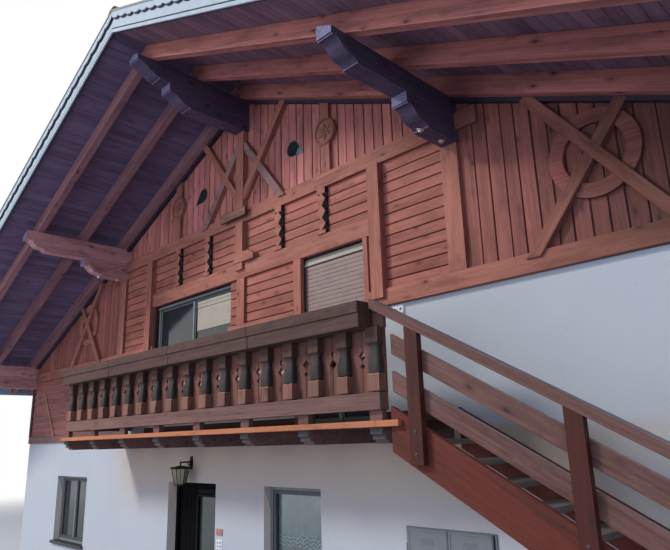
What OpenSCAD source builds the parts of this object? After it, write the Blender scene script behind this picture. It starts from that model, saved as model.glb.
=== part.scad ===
// Alpine chalet: masonry ground storey, timber gable storey, carved balcony and outer stair.
// Millimetres, Z up. The origin is the middle of the house plan at ground level.
// The front gable faces -Y. Inside the modules, y = 0 is the front face of the facade beams.

/* [House] */
// Width of the house over its side walls
house_w = 15100; // [14000:100:16500]
// Depth of the house over its front and back walls
house_d = 12000; // [9000:500:15000]
// Thickness of the masonry walls
wall_t = 400; // [300:10:500]
// Thickness of the timber walls of the upper storey
timber_t = 160; // [120:10:200]
// How far the facade beams stand in front of the masonry
beam_proud = 60; // [40:5:90]
// Height of the side walls, under the wall plates
side_wall_h = 3800; // [3700:10:3850]
// Thickness of the ground slab
slab_t = 100; // [60:10:150]
// Thickness of the upper floor
floor_t = 260; // [200:10:300]

/* [Roof] */
// Slope of the roof in degrees
roof_pitch = 23.5; // [21:0.5:26]
// Depth of a rafter, square to the slope
rafter_h = 190; // [140:10:220]
// Width of a rafter
rafter_w = 100; // [80:5:140]
// Distance from rafter to rafter
rafter_pitch = 720; // [700:10:740]
// Thickness of the roof boarding
boarding_t = 24; // [18:1:35]
// Thickness of the tiled roof cover with its battens
cover_t = 200; // [120:10:240]
// Number of courses of tiles from the ridge to the eave
tile_courses = 27; // [20:1:34]
// Height of the step at the lower edge of a course, measured upright
course_step = 32; // [15:1:45]
// Overhang of the roof past the side walls
eave_overhang = 1000; // [700:50:1300]
// Overhang of the roof in front of the facade beams
front_overhang = 2050; // [1900:10:2300]
// Overhang of the roof behind the back wall
rear_overhang = 1200; // [1000:50:1500]
// Height of the verge boards, measured upright
verge_h = 460; // [380:10:520]
// Height of the outer verge board, measured upright
verge_cap_h = 230; // [150:10:300]
// How far the verge boards start above the rafter undersides
verge_rise = 20; // [10:5:40]
// Thickness of the verge boards
verge_t = 30; // [20:5:45]

/* [Purlins] */
// Width of the ridge purlin
ridge_purlin_w = 220; // [160:10:260]
// Height of the ridge purlin at its middle
ridge_purlin_h = 270; // [220:10:320]
// Width of the mid and eave purlins
purlin_w = 180; // [140:10:220]
// Height of the eave purlins at their middle
eave_purlin_h = 200; // [160:10:240]
// Distance of the mid purlins from the ridge line
mid_purlin_x = 3510; // [3400:10:3600]
// Height of the mid purlins at their middle
mid_purlin_h = 260; // [220:10:300]
// Height of a corbel beam under a purlin
corbel_h = 260; // [200:10:300]
// Reach of the purlins in front of the facade beams
purlin_reach = 1720; // [1660:10:1850]
// Reach of the ridge corbel in front of the facade beams
ridge_corbel_reach = 1250; // [1000:10:1400]
// Reach of the mid corbels in front of the facade beams
mid_corbel_reach = 760; // [600:10:900]
// Height of the wall plates on the side walls
plate_h = 220; // [160:10:260]
// Reach of the wall plates in front of the facade beams
plate_reach = 900; // [700:10:1100]

/* [Facade] */
// Middle of the two main posts, from the ridge line
post_x = 2500; // [2400:10:2600]
// Width of a main post
post_w = 168; // [140:2:200]
// Width of the centre post
centre_post_w = 170; // [140:2:200]
// How far the main posts and the centre post stand in front of the beams
post_proud = 40; // [20:5:60]
// How far the feet of these posts lap over the beam under them
foot_lap = 100; // [60:5:140]
// Width of the thin door posts
thin_post_w = 140; // [100:5:160]
// Width of the corner posts under the mid purlins
corner_post_w = 200; // [160:10:240]
// Underside of the base beams
base_beam_z = 3920; // [3900:10:3960]
// Height of the base beams
base_beam_h = 180; // [150:10:220]
// Underside of the head beam
head_beam_z = 4740; // [4700:10:4800]
// Height of the head beam
head_beam_h = 210; // [160:10:240]
// Underside of the mid beam, below the undersides of the mid purlins
mid_beam_drop = 128; // [90:2:170]
// Height of the mid beam
mid_beam_h = 185; // [160:5:220]
// Length of the stubs of the mid beam outside the corbels
mid_beam_stub = 240; // [150:10:300]
// Middle of the round wheel ornaments, from the ridge line
wheel_x = 4900; // [4800:10:5000]
// Height of the middle of the wheel ornaments
wheel_z = 4820; // [4760:10:4880]
// Outer radius of the wheel ornaments
wheel_r = 390; // [340:10:420]
// Width of the wheel rim
wheel_rim = 120; // [90:5:150]
// Width of the crossed braces on the wheels and beside the ridge post
brace_w = 110; // [80:5:130]
// How far the crossed braces stand in front of the beams
brace_proud = 25; // [10:5:40]
// How far the feet of the crossed braces lap over the beam under them
brace_lap = 60; // [30:5:90]
// Width of the carved pendants between the head beam and the mid beam
pendant_w = 144; // [120:4:160]
// Width that the notches leave between the diamonds of a pendant
pendant_neck = 24; // [16:2:40]
// Number of diamonds on a pendant
pendant_diamonds = 3; // [2:1:4]

/* [Openings] */
// Left side of the front door opening
door_x = -1775; // [-1850:5:-1700]
// Width of the front door opening
door_w = 1205; // [1100:5:1300]
// Top of the front door opening
door_top = 2050; // [2000:10:2150]
// Left side of the wide ground floor window
window1_x = -5880; // [-6000:10:-5700]
// Width of the wide ground floor window
window1_w = 1300; // [1100:10:1500]
// Left side of the narrow ground floor window
window2_x = 456; // [400:2:560]
// Width of the narrow ground floor window
window2_w = 1004; // [800:2:1100]
// Height of the window sills
sill_z = 910; // [850:10:1000]
// Height of the ground floor window openings
window_h = 1140; // [1000:10:1200]
// Left side of the balcony window
bay_window_x = -2370; // [-2400:10:-2320]
// Width of the balcony window
bay_window_w = 2090; // [1900:10:2150]
// Sill of the balcony window above the upper floor
bay_sill = 900; // [800:10:1000]
// Left side of the balcony door
bay_door_x = 1240; // [1220:5:1260]
// Width of the balcony door
bay_door_w = 1040; // [950:10:1080]
// Width of a window frame bar
frame_w = 60; // [45:5:80]
// Depth of a window frame
frame_t = 70; // [50:5:90]
// Thickness of the glass
glass_t = 8; // [4:1:16]

/* [Balcony] */
// Left end of the balcony
balcony_x0 = -3200; // [-3260:10:-3150]
// Right end of the balcony
balcony_x1 = 3380; // [3300:10:3400]
// Depth of the balcony in front of the facade beams
balcony_d = 940; // [900:10:1000]
// Top of the balcony deck
deck_z = 2714; // [2700:2:2730]
// Thickness of the balcony deck
deck_t = 51; // [35:1:60]
// Height of the balcony joists
joist_h = 133; // [110:1:180]
// Width of the balcony joists
joist_w = 140; // [100:10:180]
// Thickness of the deck's edge board
edge_board_t = 50; // [30:5:60]
// Underside of the bottom rail above the deck
bottom_rail_gap = 86; // [60:2:120]
// Height of the bottom rail
bottom_rail_h = 143; // [100:1:180]
// Top of the balusters above the deck
baluster_top = 776; // [720:2:820]
// Width of a carved block baluster
baluster_w = 134; // [110:2:150]
// Depth of a carved block baluster in front of the boards
baluster_d = 80; // [60:5:100]
// Distance from baluster to baluster
baluster_pitch = 367; // [350:1:370]
// Thickness of the boards behind the balusters
rail_board_t = 30; // [20:1:35]
// Height of the top rail behind the flower boxes
top_rail_h = 170; // [120:10:200]
// Height of the flower boxes
box_h = 226; // [180:2:260]
// Width of the flower boxes
box_w = 200; // [180:5:240]

/* [Stair] */
// Number of risers from the ground to the deck
risers = 17; // [15:1:19]
// Going of one tread
going = 286; // [260:2:310]
// Thickness of a tread
tread_t = 45; // [35:1:60]
// Thickness of a stringer
stringer_t = 50; // [40:5:70]
// Upright height of a stringer above the line of the nosings
stringer_above = 110; // [80:5:140]
// Upright height of a stringer below the line of the nosings
stringer_below = 250; // [220:5:300]
// Distance between the middles of two stair posts
stair_post_step = 1255; // [1200:5:1300]
// Width of a stair post
stair_post_w = 125; // [100:5:150]
// Thickness of a stair post
stair_post_t = 60; // [45:5:80]
// Top of the handrail above the stringer, measured upright
handrail_rise = 830; // [760:10:900]
// Height of the handrail, measured upright
handrail_h = 85; // [60:5:100]
// Height of the two sloping boards of the railing, measured upright
stair_rail_h = 170; // [140:10:190]

/* [Meter cabinet] */
// Left side of the meter cabinet
cabinet_x = 2660; // [2600:10:2700]
// Width of the meter cabinet
cabinet_w = 980; // [800:10:1100]
// Underside of the meter cabinet
cabinet_z = 760; // [700:10:900]
// Height of the meter cabinet
cabinet_h = 1000; // [800:10:1050]
// Depth of the meter cabinet in the wall
cabinet_d = 200; // [120:10:250]

/* [Hidden] */

wood = "#6b3f2c";
dark_wood = "#3c2723";
grey_wood = "#5a4a40";
render_white = "#dfe3e6";
dark_metal = "#3a3c40";
cabinet_grey = "#8f9498";

// Clearance between pieces that rest on each other along a slope
seat = 0.3;
// How far a cutter stands out of what it cuts
over = 20;

front_y = -(beam_proud + house_d / 2);
back_y = beam_proud + house_d;
half_w = house_w / 2;
masonry_y1 = beam_proud + wall_t;
timber_y1 = beam_proud + timber_t;
masonry_h = deck_z - deck_t;

slope = tan(roof_pitch);
rafter_v = rafter_h / cos(roof_pitch);
boarding_v = boarding_t / cos(roof_pitch);
cover_v = cover_t / cos(roof_pitch);
purlin_inset = 10;
eave_purlin_x = half_w - purlin_inset - purlin_w / 2;
purlin_side_x = eave_purlin_x - purlin_w / 2;
plate_top_z = side_wall_h + plate_h;
rafter_base_z = plate_top_z + eave_purlin_h + slope * eave_purlin_x;
roof_x = half_w + eave_overhang;
eave_board_t = 25;
cover_x = roof_x - eave_board_t;
roof_y0 = -front_overhang + 2 * verge_t;
roof_y1 = back_y + rear_overhang;
purlin_end_gap = 120;
rear_end_y = roof_y1 - purlin_end_gap;

mid_in_x = mid_purlin_x - purlin_w / 2;
mid_out_x = mid_purlin_x + purlin_w / 2;
mid_purlin_z = under_z(mid_purlin_x) - mid_purlin_h;
mid_corbel_z = mid_purlin_z - corbel_h;
ridge_purlin_z = rafter_base_z - ridge_purlin_h;
ridge_corbel_z = ridge_purlin_z - corbel_h;
post_in_x = post_x - post_w / 2;
post_out_x = post_x + post_w / 2;
base_top_z = base_beam_z + base_beam_h;
head_top_z = head_beam_z + head_beam_h;
mid_beam_z = mid_purlin_z - mid_beam_drop;
mid_top_z = mid_beam_z + mid_beam_h;

rise = deck_z / risers;
nosing_slope = rise / going;

// Height of the rafter undersides at a distance from the ridge line
function under_z(x) = rafter_base_z - slope * abs(x);

// Puts a piece that is drawn from the facade beams into the frame of the house
module from_front() {
    translate([0, front_y, 0]) children();
}

// Extrudes a profile drawn in x and z along y
module along_y(y0, y1) {
    translate([0, y1, 0]) rotate([90, 0, 0]) linear_extrude(y1 - y0) children();
}

// Extrudes a profile drawn in y and z along x
module along_x(x0, x1) {
    translate([x0, 0, 0]) rotate([90, 0, 90]) linear_extrude(x1 - x0) children();
}

// A block between two corners
module block(x0, x1, y0, y1, z0, z1) {
    translate([x0, y0, z0]) cube([x1 - x0, y1 - y0, z1 - z0]);
}

// A rectangle between two corners
module area(x0, x1, z0, z1) {
    translate([x0, z0]) square([x1 - x0, z1 - z0]);
}

module both_sides() {
    children();
    mirror([1, 0, 0]) children();
}

// Straight bar from one point to another, drawn in x and z
module bar(from, to, w) {
    run = to - from;
    translate(from) rotate(atan2(run[1], run[0])) translate([0, -w / 2]) square([norm(run), w]);
}

// Band that follows the right roof slope, between two upright offsets from the rafter undersides
module slope_band(x0, x1, low, high) {
    polygon([[x0, under_z(x0) + low], [x1, under_z(x1) + low],
        [x1, under_z(x1) + high], [x0, under_z(x0) + high]]);
}

// Ground storey

threshold_y = beam_proud + 120;

module ground_slab() {
    color("#9a9a96") from_front() {
        block(-half_w + wall_t, half_w - wall_t, masonry_y1, back_y - wall_t, 0, slab_t);
        block(door_x, door_x + door_w, threshold_y, masonry_y1, 0, slab_t);
    }
}

module window_hole(x, w) {
    block(x, x + w, beam_proud - over, masonry_y1 + over, sill_z, sill_z + window_h);
}

module front_wall_left() {
    color(render_white) from_front() difference() {
        block(-half_w, door_x, beam_proud, masonry_y1, 0, masonry_h);
        window_hole(window1_x, window1_w);
    }
}

module wall_over_door() {
    color(render_white) from_front()
        block(door_x, door_x + door_w, beam_proud, masonry_y1, door_top, masonry_h);
}

front_split_x = 2000;

module front_wall_middle() {
    color(render_white) from_front() difference() {
        block(door_x + door_w, front_split_x, beam_proud, masonry_y1, 0, masonry_h);
        window_hole(window2_x, window2_w);
    }
}

module front_wall_right() {
    color(render_white) from_front() difference() {
        block(front_split_x, half_w, beam_proud, masonry_y1, 0, masonry_h);
        block(cabinet_x, cabinet_x + cabinet_w, 0, beam_proud + cabinet_d,
            cabinet_z, cabinet_z + cabinet_h);
    }
}

bay_sill_z = deck_z + bay_sill;
bay_door_x1 = bay_door_x + bay_door_w;

// Rendered wall behind the balcony, and on to the right corner of the house
module upper_masonry_right() {
    color(render_white) from_front() along_y(beam_proud, masonry_y1) difference() {
        polygon([[-post_out_x, masonry_h], [half_w, masonry_h], [half_w, side_wall_h],
            [purlin_side_x, side_wall_h], [purlin_side_x, base_beam_z], [-post_out_x, base_beam_z]]);
        area(bay_window_x, bay_window_x + bay_window_w, bay_sill_z, base_beam_z + over);
        area(bay_door_x, bay_door_x1, deck_z, base_beam_z + over);
    }
}

side_window_w = 1000;
side_window_y = [0.2, 0.5, 0.8];

function side_y(share) = beam_proud + house_d * share;

module side_window_holes(x0, x1) {
    for (share = side_window_y)
        block(x0 - over, x1 + over, side_y(share) - side_window_w / 2, side_y(share) + side_window_w / 2,
            sill_z, sill_z + window_h);
}

module side_wall_right() {
    color(render_white) from_front() difference() {
        block(half_w - wall_t, half_w, masonry_y1, back_y - wall_t, 0, side_wall_h);
        side_window_holes(half_w - wall_t, half_w);
    }
}

module side_wall_left() {
    color(render_white) from_front() difference() {
        block(-half_w, -half_w + wall_t, masonry_y1, back_y - wall_t, 0, masonry_h);
        side_window_holes(-half_w, -half_w + wall_t);
    }
}

// Middles of the back windows, as shares of half the house width
back_window_share = [-0.66, 0, 0.66];

module back_wall() {
    color(render_white) from_front() difference() {
        block(-half_w, half_w, back_y - wall_t, back_y, 0, masonry_h);
        for (share = back_window_share)
            block(half_w * share - side_window_w / 2, half_w * share + side_window_w / 2,
                back_y - wall_t - over, back_y + over, sill_z, sill_z + window_h);
    }
}

module upper_floor() {
    color("#b08a62") from_front()
        block(-half_w + wall_t, half_w - wall_t, masonry_y1, back_y - wall_t,
            deck_z - floor_t, deck_z);
}

// Timber walls

module knee_wall_left() {
    color(wood) from_front()
        block(-half_w, -post_out_x, beam_proud, timber_y1, masonry_h, side_wall_h);
}

module upper_side_wall_left() {
    color(wood) from_front()
        block(-half_w, -half_w + timber_t, timber_y1, back_y - timber_t, masonry_h, side_wall_h);
}

module bay_wall() {
    color(wood) from_front() along_y(beam_proud, timber_y1) difference() {
        area(-post_out_x, post_out_x, base_beam_z, mid_beam_z);
        area(bay_window_x, bay_window_x + bay_window_w, base_beam_z - over, head_beam_z);
        area(bay_door_x, bay_door_x1, base_beam_z - over, head_beam_z);
    }
}

module gable_wing() {
    along_y(beam_proud, timber_y1) difference() {
        polygon([[post_out_x, base_beam_z], [purlin_side_x, base_beam_z],
            [purlin_side_x, under_z(purlin_side_x) + rafter_v],
            [post_out_x, under_z(post_out_x) + rafter_v]]);
        mid_purlin_profile();
    }
}

module gable_wall_right() {
    color(wood) from_front() gable_wing();
}

module gable_wall_left() {
    color(wood) from_front() {
        mirror([1, 0, 0]) gable_wing();
        block(-purlin_side_x, -post_out_x, beam_proud, timber_y1, side_wall_h, base_beam_z);
    }
}

drop_x = 1060;
drop_below = 630;
drop_z = ridge_corbel_z - drop_below;
drop_r = 115;
drop_tip = 2.2;
drop_turn = -30;

// Drop-shaped hole, its point turned down along the roof slope
module drop_outline(r) {
    translate([drop_x, drop_z]) {
        circle(r, $fn = 48);
        rotate(drop_turn) polygon([[0, r], [0, -r], [drop_tip * r, 0]]);
    }
}

module gable_wall_top() {
    color(wood) from_front() along_y(beam_proud, timber_y1) difference() {
        polygon([[-post_out_x, mid_beam_z], [post_out_x, mid_beam_z],
            [post_out_x, under_z(post_out_x) + rafter_v], [0, under_z(0) + rafter_v],
            [-post_out_x, under_z(post_out_x) + rafter_v]]);
        ridge_purlin_profile();
        drop_outline(drop_r);
        mirror([1, 0]) drop_outline(drop_r);
    }
}

// Middles of the upper back windows, as shares of half the house width
back_upper_share = [-0.2, 0.2];

module back_gable_wall() {
    color(wood) from_front() along_y(back_y - timber_t, back_y) difference() {
        polygon([[-half_w, masonry_h], [half_w, masonry_h], [half_w, side_wall_h],
            [purlin_side_x, side_wall_h], [purlin_side_x, under_z(purlin_side_x) + rafter_v],
            [0, under_z(0) + rafter_v], [-purlin_side_x, under_z(purlin_side_x) + rafter_v],
            [-purlin_side_x, side_wall_h], [-half_w, side_wall_h]]);
        ridge_purlin_profile();
        mid_purlin_profile();
        mirror([1, 0]) mid_purlin_profile();
        for (share = back_upper_share)
            area(half_w * share - side_window_w / 2, half_w * share + side_window_w / 2,
                bay_sill_z, bay_sill_z + window_h);
    }
}

// Roof frame

module ridge_purlin_profile() {
    h = ridge_purlin_w / 2;
    polygon([[-h, ridge_purlin_z], [h, ridge_purlin_z], [h, under_z(h)], [0, under_z(0)], [-h, under_z(h)]]);
}

module mid_purlin_profile() {
    polygon([[mid_in_x, mid_purlin_z], [mid_out_x, mid_purlin_z],
        [mid_out_x, under_z(mid_out_x)], [mid_in_x, under_z(mid_in_x)]]);
}

module eave_purlin_profile() {
    x1 = purlin_side_x + purlin_w;
    polygon([[purlin_side_x, plate_top_z], [x1, plate_top_z], [x1, under_z(x1)],
        [purlin_side_x, under_z(purlin_side_x)]]);
}

head_steps = 14;
head_fillet = 14;

// Side view of what is cut from the lower front corner of a carved beam head:
// an ogee between two small steps, with a second wave where ripple is over zero
module head_cut(reach, z, h, ripple) {
    nose = h * 0.55;
    run = h * 1.15;
    y0 = -reach + head_fillet;
    z0 = z + head_fillet;
    curve = [for (i = [0 : head_steps]) [y0 + run * i / head_steps,
        z0 + (nose - head_fillet) * ((1 + cos(180 * i / head_steps)) / 2
            + ripple * sin(540 * i / head_steps))]];
    polygon(concat([[-reach - over, z - over], [-reach - over, z + nose + head_fillet],
        [y0, z + nose + head_fillet]], curve, [[y0 + run, z - over]]));
}

module ridge_purlin() {
    color(dark_wood) from_front() difference() {
        along_y(-purlin_reach, rear_end_y) ridge_purlin_profile();
        along_x(-ridge_purlin_w, ridge_purlin_w)
            head_cut(purlin_reach, ridge_purlin_z, ridge_purlin_h, 0);
    }
}

module mid_purlins() {
    color(dark_wood) from_front() both_sides() difference() {
        along_y(-purlin_reach, rear_end_y) mid_purlin_profile();
        along_x(mid_in_x - over, mid_out_x + over) head_cut(purlin_reach, mid_purlin_z, mid_purlin_h, 0.12);
    }
}

module eave_purlins() {
    color(dark_wood) from_front() both_sides() difference() {
        along_y(-purlin_reach, rear_end_y) eave_purlin_profile();
        along_x(purlin_side_x - over, half_w) head_cut(purlin_reach, plate_top_z, eave_purlin_h, 0.12);
    }
}

plate_end_gap = 400;

module wall_plates() {
    color(wood) from_front() both_sides() difference() {
        along_y(-plate_reach, rear_end_y - plate_end_gap)
            area(purlin_side_x, purlin_side_x + purlin_w, side_wall_h, plate_top_z);
        along_x(purlin_side_x - over, half_w) head_cut(plate_reach, side_wall_h, plate_h, 0);
    }
}

module corbels() {
    color(dark_wood) from_front() {
        difference() {
            block(-ridge_purlin_w / 2, ridge_purlin_w / 2, -ridge_corbel_reach, beam_proud,
                ridge_corbel_z, ridge_purlin_z);
            along_x(-ridge_purlin_w, ridge_purlin_w)
                head_cut(ridge_corbel_reach, ridge_corbel_z, corbel_h, 0);
        }
        both_sides() difference() {
            block(mid_in_x, mid_out_x, -mid_corbel_reach, beam_proud, mid_corbel_z, mid_purlin_z);
            along_x(mid_in_x - over, mid_out_x + over)
                head_cut(mid_corbel_reach, mid_corbel_z, corbel_h, 0.12);
        }
    }
}

wall_rafter_gap = 20;
front_rafters = floor((purlin_reach - wall_rafter_gap - rafter_w) / rafter_pitch) + 1;
inner_span = back_y - timber_t - timber_y1 - 2 * wall_rafter_gap - rafter_w;
inner_rafters = round(inner_span / rafter_pitch) + 1;
rear_rafters = floor((rear_end_y - back_y - wall_rafter_gap - rafter_w) / rafter_pitch) + 1;
rafter_y = concat(
    [for (i = [0 : front_rafters - 1]) -wall_rafter_gap - rafter_w - i * rafter_pitch],
    [for (i = [0 : inner_rafters - 1]) timber_y1 + wall_rafter_gap + i * inner_span / (inner_rafters - 1)],
    [for (i = [0 : rear_rafters - 1]) back_y + wall_rafter_gap + i * rafter_pitch]);

module rafters_right_side() {
    for (y = rafter_y)
        along_y(y, y + rafter_w) slope_band(0, cover_x, seat, rafter_v);
}

module rafters_right() {
    color(dark_wood) from_front() rafters_right_side();
}

module rafters_left() {
    color(dark_wood) from_front() mirror([1, 0, 0]) rafters_right_side();
}

module boarding_right_side() {
    along_y(roof_y0, roof_y1) slope_band(0, cover_x, rafter_v + seat, rafter_v + boarding_v);
}

module roof_boarding_right() {
    color(dark_wood) from_front() boarding_right_side();
}

module roof_boarding_left() {
    color(dark_wood) from_front() mirror([1, 0, 0]) boarding_right_side();
}

course_run = cover_x / tile_courses;

// Roof cover with a step at the lower edge of each course of tiles
module cover_right_side() {
    foot = rafter_v + boarding_v + seat;
    top = rafter_v + boarding_v + cover_v;
    along_y(roof_y0, roof_y1) polygon(concat(
        [[0, under_z(0) + foot], [cover_x, under_z(cover_x) + foot]],
        [for (i = [tile_courses - 1 : -1 : 0]) for (k = [1 : -1 : 0])
            [(i + k) * course_run, under_z((i + k) * course_run) + top - (1 - k) * course_step]]));
}

module roof_cover_right() {
    color("#6d5548") from_front() cover_right_side();
}

module roof_cover_left() {
    color("#6d5548") from_front() mirror([1, 0, 0]) cover_right_side();
}

module verge_boards() {
    verge_top = verge_rise + verge_h;
    color("#b9b7ae") from_front() both_sides() {
        along_y(roof_y0 - verge_t, roof_y0) slope_band(0, roof_x, verge_rise, verge_top);
        along_y(roof_y0 - 2 * verge_t, roof_y0 - verge_t)
            slope_band(0, roof_x, verge_top - verge_cap_h, verge_top);
        along_y(roof_y1, roof_y1 + verge_t) slope_band(0, roof_x, verge_rise, verge_top);
    }
}

module eave_boards() {
    color("#b9b7ae") from_front() both_sides()
        along_y(roof_y0, roof_y1) slope_band(cover_x, roof_x, 0, rafter_v + boarding_v + cover_v);
}

// Facade timbers

module base_beams() {
    bay_window_x1 = bay_window_x + bay_window_w;
    color(wood) from_front() {
        block(-purlin_side_x, bay_window_x, 0, beam_proud, base_beam_z, base_top_z);
        block(bay_window_x1, bay_door_x - thin_post_w, 0, beam_proud, base_beam_z, base_top_z);
        block(bay_door_x1 + thin_post_w / 2, purlin_side_x, 0, beam_proud, base_beam_z, base_top_z);
    }
}

module head_beam() {
    color(wood) from_front()
        block(-post_in_x, post_in_x, 0, beam_proud, head_beam_z, head_top_z);
}

module mid_beam() {
    color(wood) from_front() {
        block(-mid_in_x, mid_in_x, 0, beam_proud, mid_beam_z, mid_top_z);
        both_sides()
            block(mid_out_x, mid_out_x + mid_beam_stub, 0, beam_proud, mid_beam_z, mid_top_z);
    }
}

// Post between two beams: it stands proud of them and its foot laps over the lower one
module proud_post(x0, x1, z0, z1) {
    block(x0, x1, 0, beam_proud, z0, z1);
    block(x0, x1, -post_proud, 0, z0 - foot_lap, z1);
}

module facade_posts() {
    color(wood) from_front() {
        both_sides() proud_post(post_in_x, post_out_x, base_top_z, mid_beam_z - seat);
        block(-centre_post_w / 2, centre_post_w / 2, 0, beam_proud, base_top_z, head_beam_z);
        proud_post(-centre_post_w / 2, centre_post_w / 2, head_top_z, mid_beam_z - seat);
        proud_post(-centre_post_w / 2, centre_post_w / 2, mid_top_z + seat, ridge_corbel_z - seat);
        block(bay_door_x - thin_post_w, bay_door_x, 0, beam_proud, deck_z, head_beam_z);
        block(bay_door_x1, bay_door_x1 + thin_post_w / 2, 0, beam_proud, deck_z, head_beam_z);
    }
}

module corner_posts() {
    color(wood) from_front() both_sides()
        block(mid_out_x - corner_post_w, mid_out_x, 0, beam_proud, base_top_z, mid_corbel_z - seat);
}

ring_t = 50;
// Ends of the crossed braces on a wheel, measured from its middle
wheel_brace_a = [[-540, 740], [590, -745]];
wheel_brace_b = [[350, 458], [-640, -817]];

// Crossed braces of a wheel, cut off at the height of their feet and under the rafters
module wheel_braces(foot_z) {
    x0 = mid_out_x + mid_beam_stub;
    intersection() {
        translate([wheel_x, wheel_z]) {
            bar(wheel_brace_a[0], wheel_brace_a[1], brace_w);
            bar(wheel_brace_b[0], wheel_brace_b[1], brace_w);
        }
        polygon([[x0, foot_z], [purlin_side_x, foot_z], [purlin_side_x, under_z(purlin_side_x)],
            [x0, under_z(x0)]]);
    }
}

module wheel_ornaments() {
    color(wood) from_front() both_sides() {
        along_y(beam_proud - ring_t, beam_proud) translate([wheel_x, wheel_z]) difference() {
            circle(wheel_r, $fn = 96);
            circle(wheel_r - wheel_rim, $fn = 96);
        }
        along_y(0, beam_proud) wheel_braces(base_top_z);
        along_y(-brace_proud, 0) wheel_braces(base_top_z - brace_lap);
    }
}

disc_x = 1720;
disc_r = 180;
disc_board_w = 150;
disc_rise = 540;

// Ends of the crossed braces beside the ridge post, measured from the top of the mid beam
ridge_brace_a = [[40, 150], [1000, 1401]];
ridge_brace_b = [[30, 1030], [930, -90]];

pendant_x = [825, 1645];
pendant_front_y = -16;
pendant_top_block = 85;
pendant_bottom_block = 45;
// Flat left on the outer point of each diamond
pendant_tip = 4;

// Chip-carved notch across one front edge of a pendant, its bottom line running back at 45 degrees
module pendant_notch(above, below) {
    deep = (pendant_w - pendant_neck) / 2;
    // The notch is cut to twice its depth, so that it clears the edge of the block
    translate([pendant_neck / 2, pendant_front_y, 0]) rotate([0, 0, 45])
        along_x(-over, deep * sqrt(2) + over)
            polygon([[0, 0], [-deep * sqrt(2), 2 * above], [-deep * sqrt(2), -2 * below]]);
}

// Square block whose front edges are notched into a chain of diamonds
module pendant(x) {
    h = mid_beam_z - seat - head_top_z;
    pitch = (h - pendant_top_block - pendant_bottom_block) / pendant_diamonds;
    spread = (pitch - pendant_tip) / 2;
    translate([x, 0, head_top_z]) difference() {
        block(-pendant_w / 2, pendant_w / 2, pendant_front_y, beam_proud, 0, h);
        for (side = [0, 1]) mirror([side, 0, 0])
            for (i = [0 : pendant_diamonds])
                translate([0, 0, pendant_bottom_block + i * pitch])
                    pendant_notch(i == pendant_diamonds ? 0 : spread, i == 0 ? 0 : spread);
    }
}

// Crossed braces beside the ridge post, cut off at the height of their feet and under the rafters
module ridge_braces(foot_z) {
    x0 = centre_post_w / 2;
    intersection() {
        translate([0, mid_top_z]) {
            bar(ridge_brace_a[0], ridge_brace_a[1], brace_w);
            bar(ridge_brace_b[0], ridge_brace_b[1], brace_w);
        }
        polygon([[x0, foot_z], [disc_x, foot_z], [disc_x, under_z(disc_x)], [x0, under_z(x0)]]);
    }
}

module gable_ornaments() {
    foot_z = mid_top_z + seat;
    color(wood) from_front() both_sides() {
        along_y(0, beam_proud) {
            translate([disc_x, mid_top_z + disc_rise]) circle(disc_r, $fn = 64);
            polygon([[disc_x - disc_board_w / 2, foot_z], [disc_x + disc_board_w / 2, foot_z],
                [disc_x + disc_board_w / 2, under_z(disc_x + disc_board_w / 2)],
                [disc_x - disc_board_w / 2, under_z(disc_x - disc_board_w / 2)]]);
        }
        along_y(0, beam_proud) ridge_braces(foot_z);
        along_y(-brace_proud, 0) ridge_braces(foot_z - brace_lap);
        for (x = pendant_x)
            pendant(x);
    }
}

cladding_t = 40;
cladding_top_gap = 40;

module knee_wall_cladding() {
    color(grey_wood) from_front() along_y(beam_proud - cladding_t, beam_proud) {
        area(-half_w + purlin_inset, -purlin_side_x, masonry_h, side_wall_h);
        area(-purlin_side_x, balcony_x0, masonry_h, base_beam_z - cladding_top_gap);
    }
}

// Balcony

joist_count = 8;
joist_last_x = balcony_x1 - 170;
joist_pitch = (joist_last_x - joist_w / 2 - balcony_x0) / (joist_count - 1);
joist_x = [for (i = [0 : joist_count - 1]) joist_last_x - i * joist_pitch];
joist_z1 = deck_z - deck_t;
joist_step_y = 30;

// Side view of a joist, its head stepped back twice under the deck
module joist_outline() {
    y0 = -balcony_d;
    polygon([[y0, joist_z1], [y0, joist_z1 - joist_h * 0.42], [y0 + joist_step_y, joist_z1 - joist_h * 0.42],
        [y0 + joist_step_y, joist_z1 - joist_h * 0.75], [y0 + 2 * joist_step_y, joist_z1 - joist_h * 0.75],
        [y0 + 3 * joist_step_y, joist_z1 - joist_h], [beam_proud, joist_z1 - joist_h],
        [beam_proud, joist_z1]]);
}

module balcony_joists() {
    color(dark_wood) from_front()
        for (x = joist_x)
            along_x(x - joist_w / 2, x + joist_w / 2) joist_outline();
}

edge_board_over = 110;

module balcony_deck() {
    color("#8a5a36") from_front() {
        block(balcony_x0, balcony_x1, -balcony_d, beam_proud, joist_z1, deck_z);
        block(balcony_x0, balcony_x1 + edge_board_over, -balcony_d - edge_board_t, -balcony_d,
            joist_z1, deck_z);
    }
}

rail_end_gap = 78;
rail_x1 = balcony_x1 - rail_end_gap;
block_over = 40;
block_front_y = -balcony_d - block_over;
board_y0 = block_front_y + baluster_d;
board_y1 = board_y0 + rail_board_t;
bottom_rail_z = deck_z + bottom_rail_gap;
bottom_rail_top = bottom_rail_z + bottom_rail_h;
baluster_top_z = deck_z + baluster_top;
block_x = rail_x1 - baluster_w / 2;
baluster_count = floor((block_x - baluster_w / 2 - balcony_x0) / baluster_pitch) + 1;
rail_x0 = block_x - (baluster_count - 1) * baluster_pitch - baluster_w / 2;

foot_h = 157;
cap_h = 140;
vase_steps = 10;

// Share of the full width that a baluster has along its vase, from its foot to its cap
function vase(t) = 0.82 - 0.06 * t + 0.2 * sin(180 * pow(t, 0.8));

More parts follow.
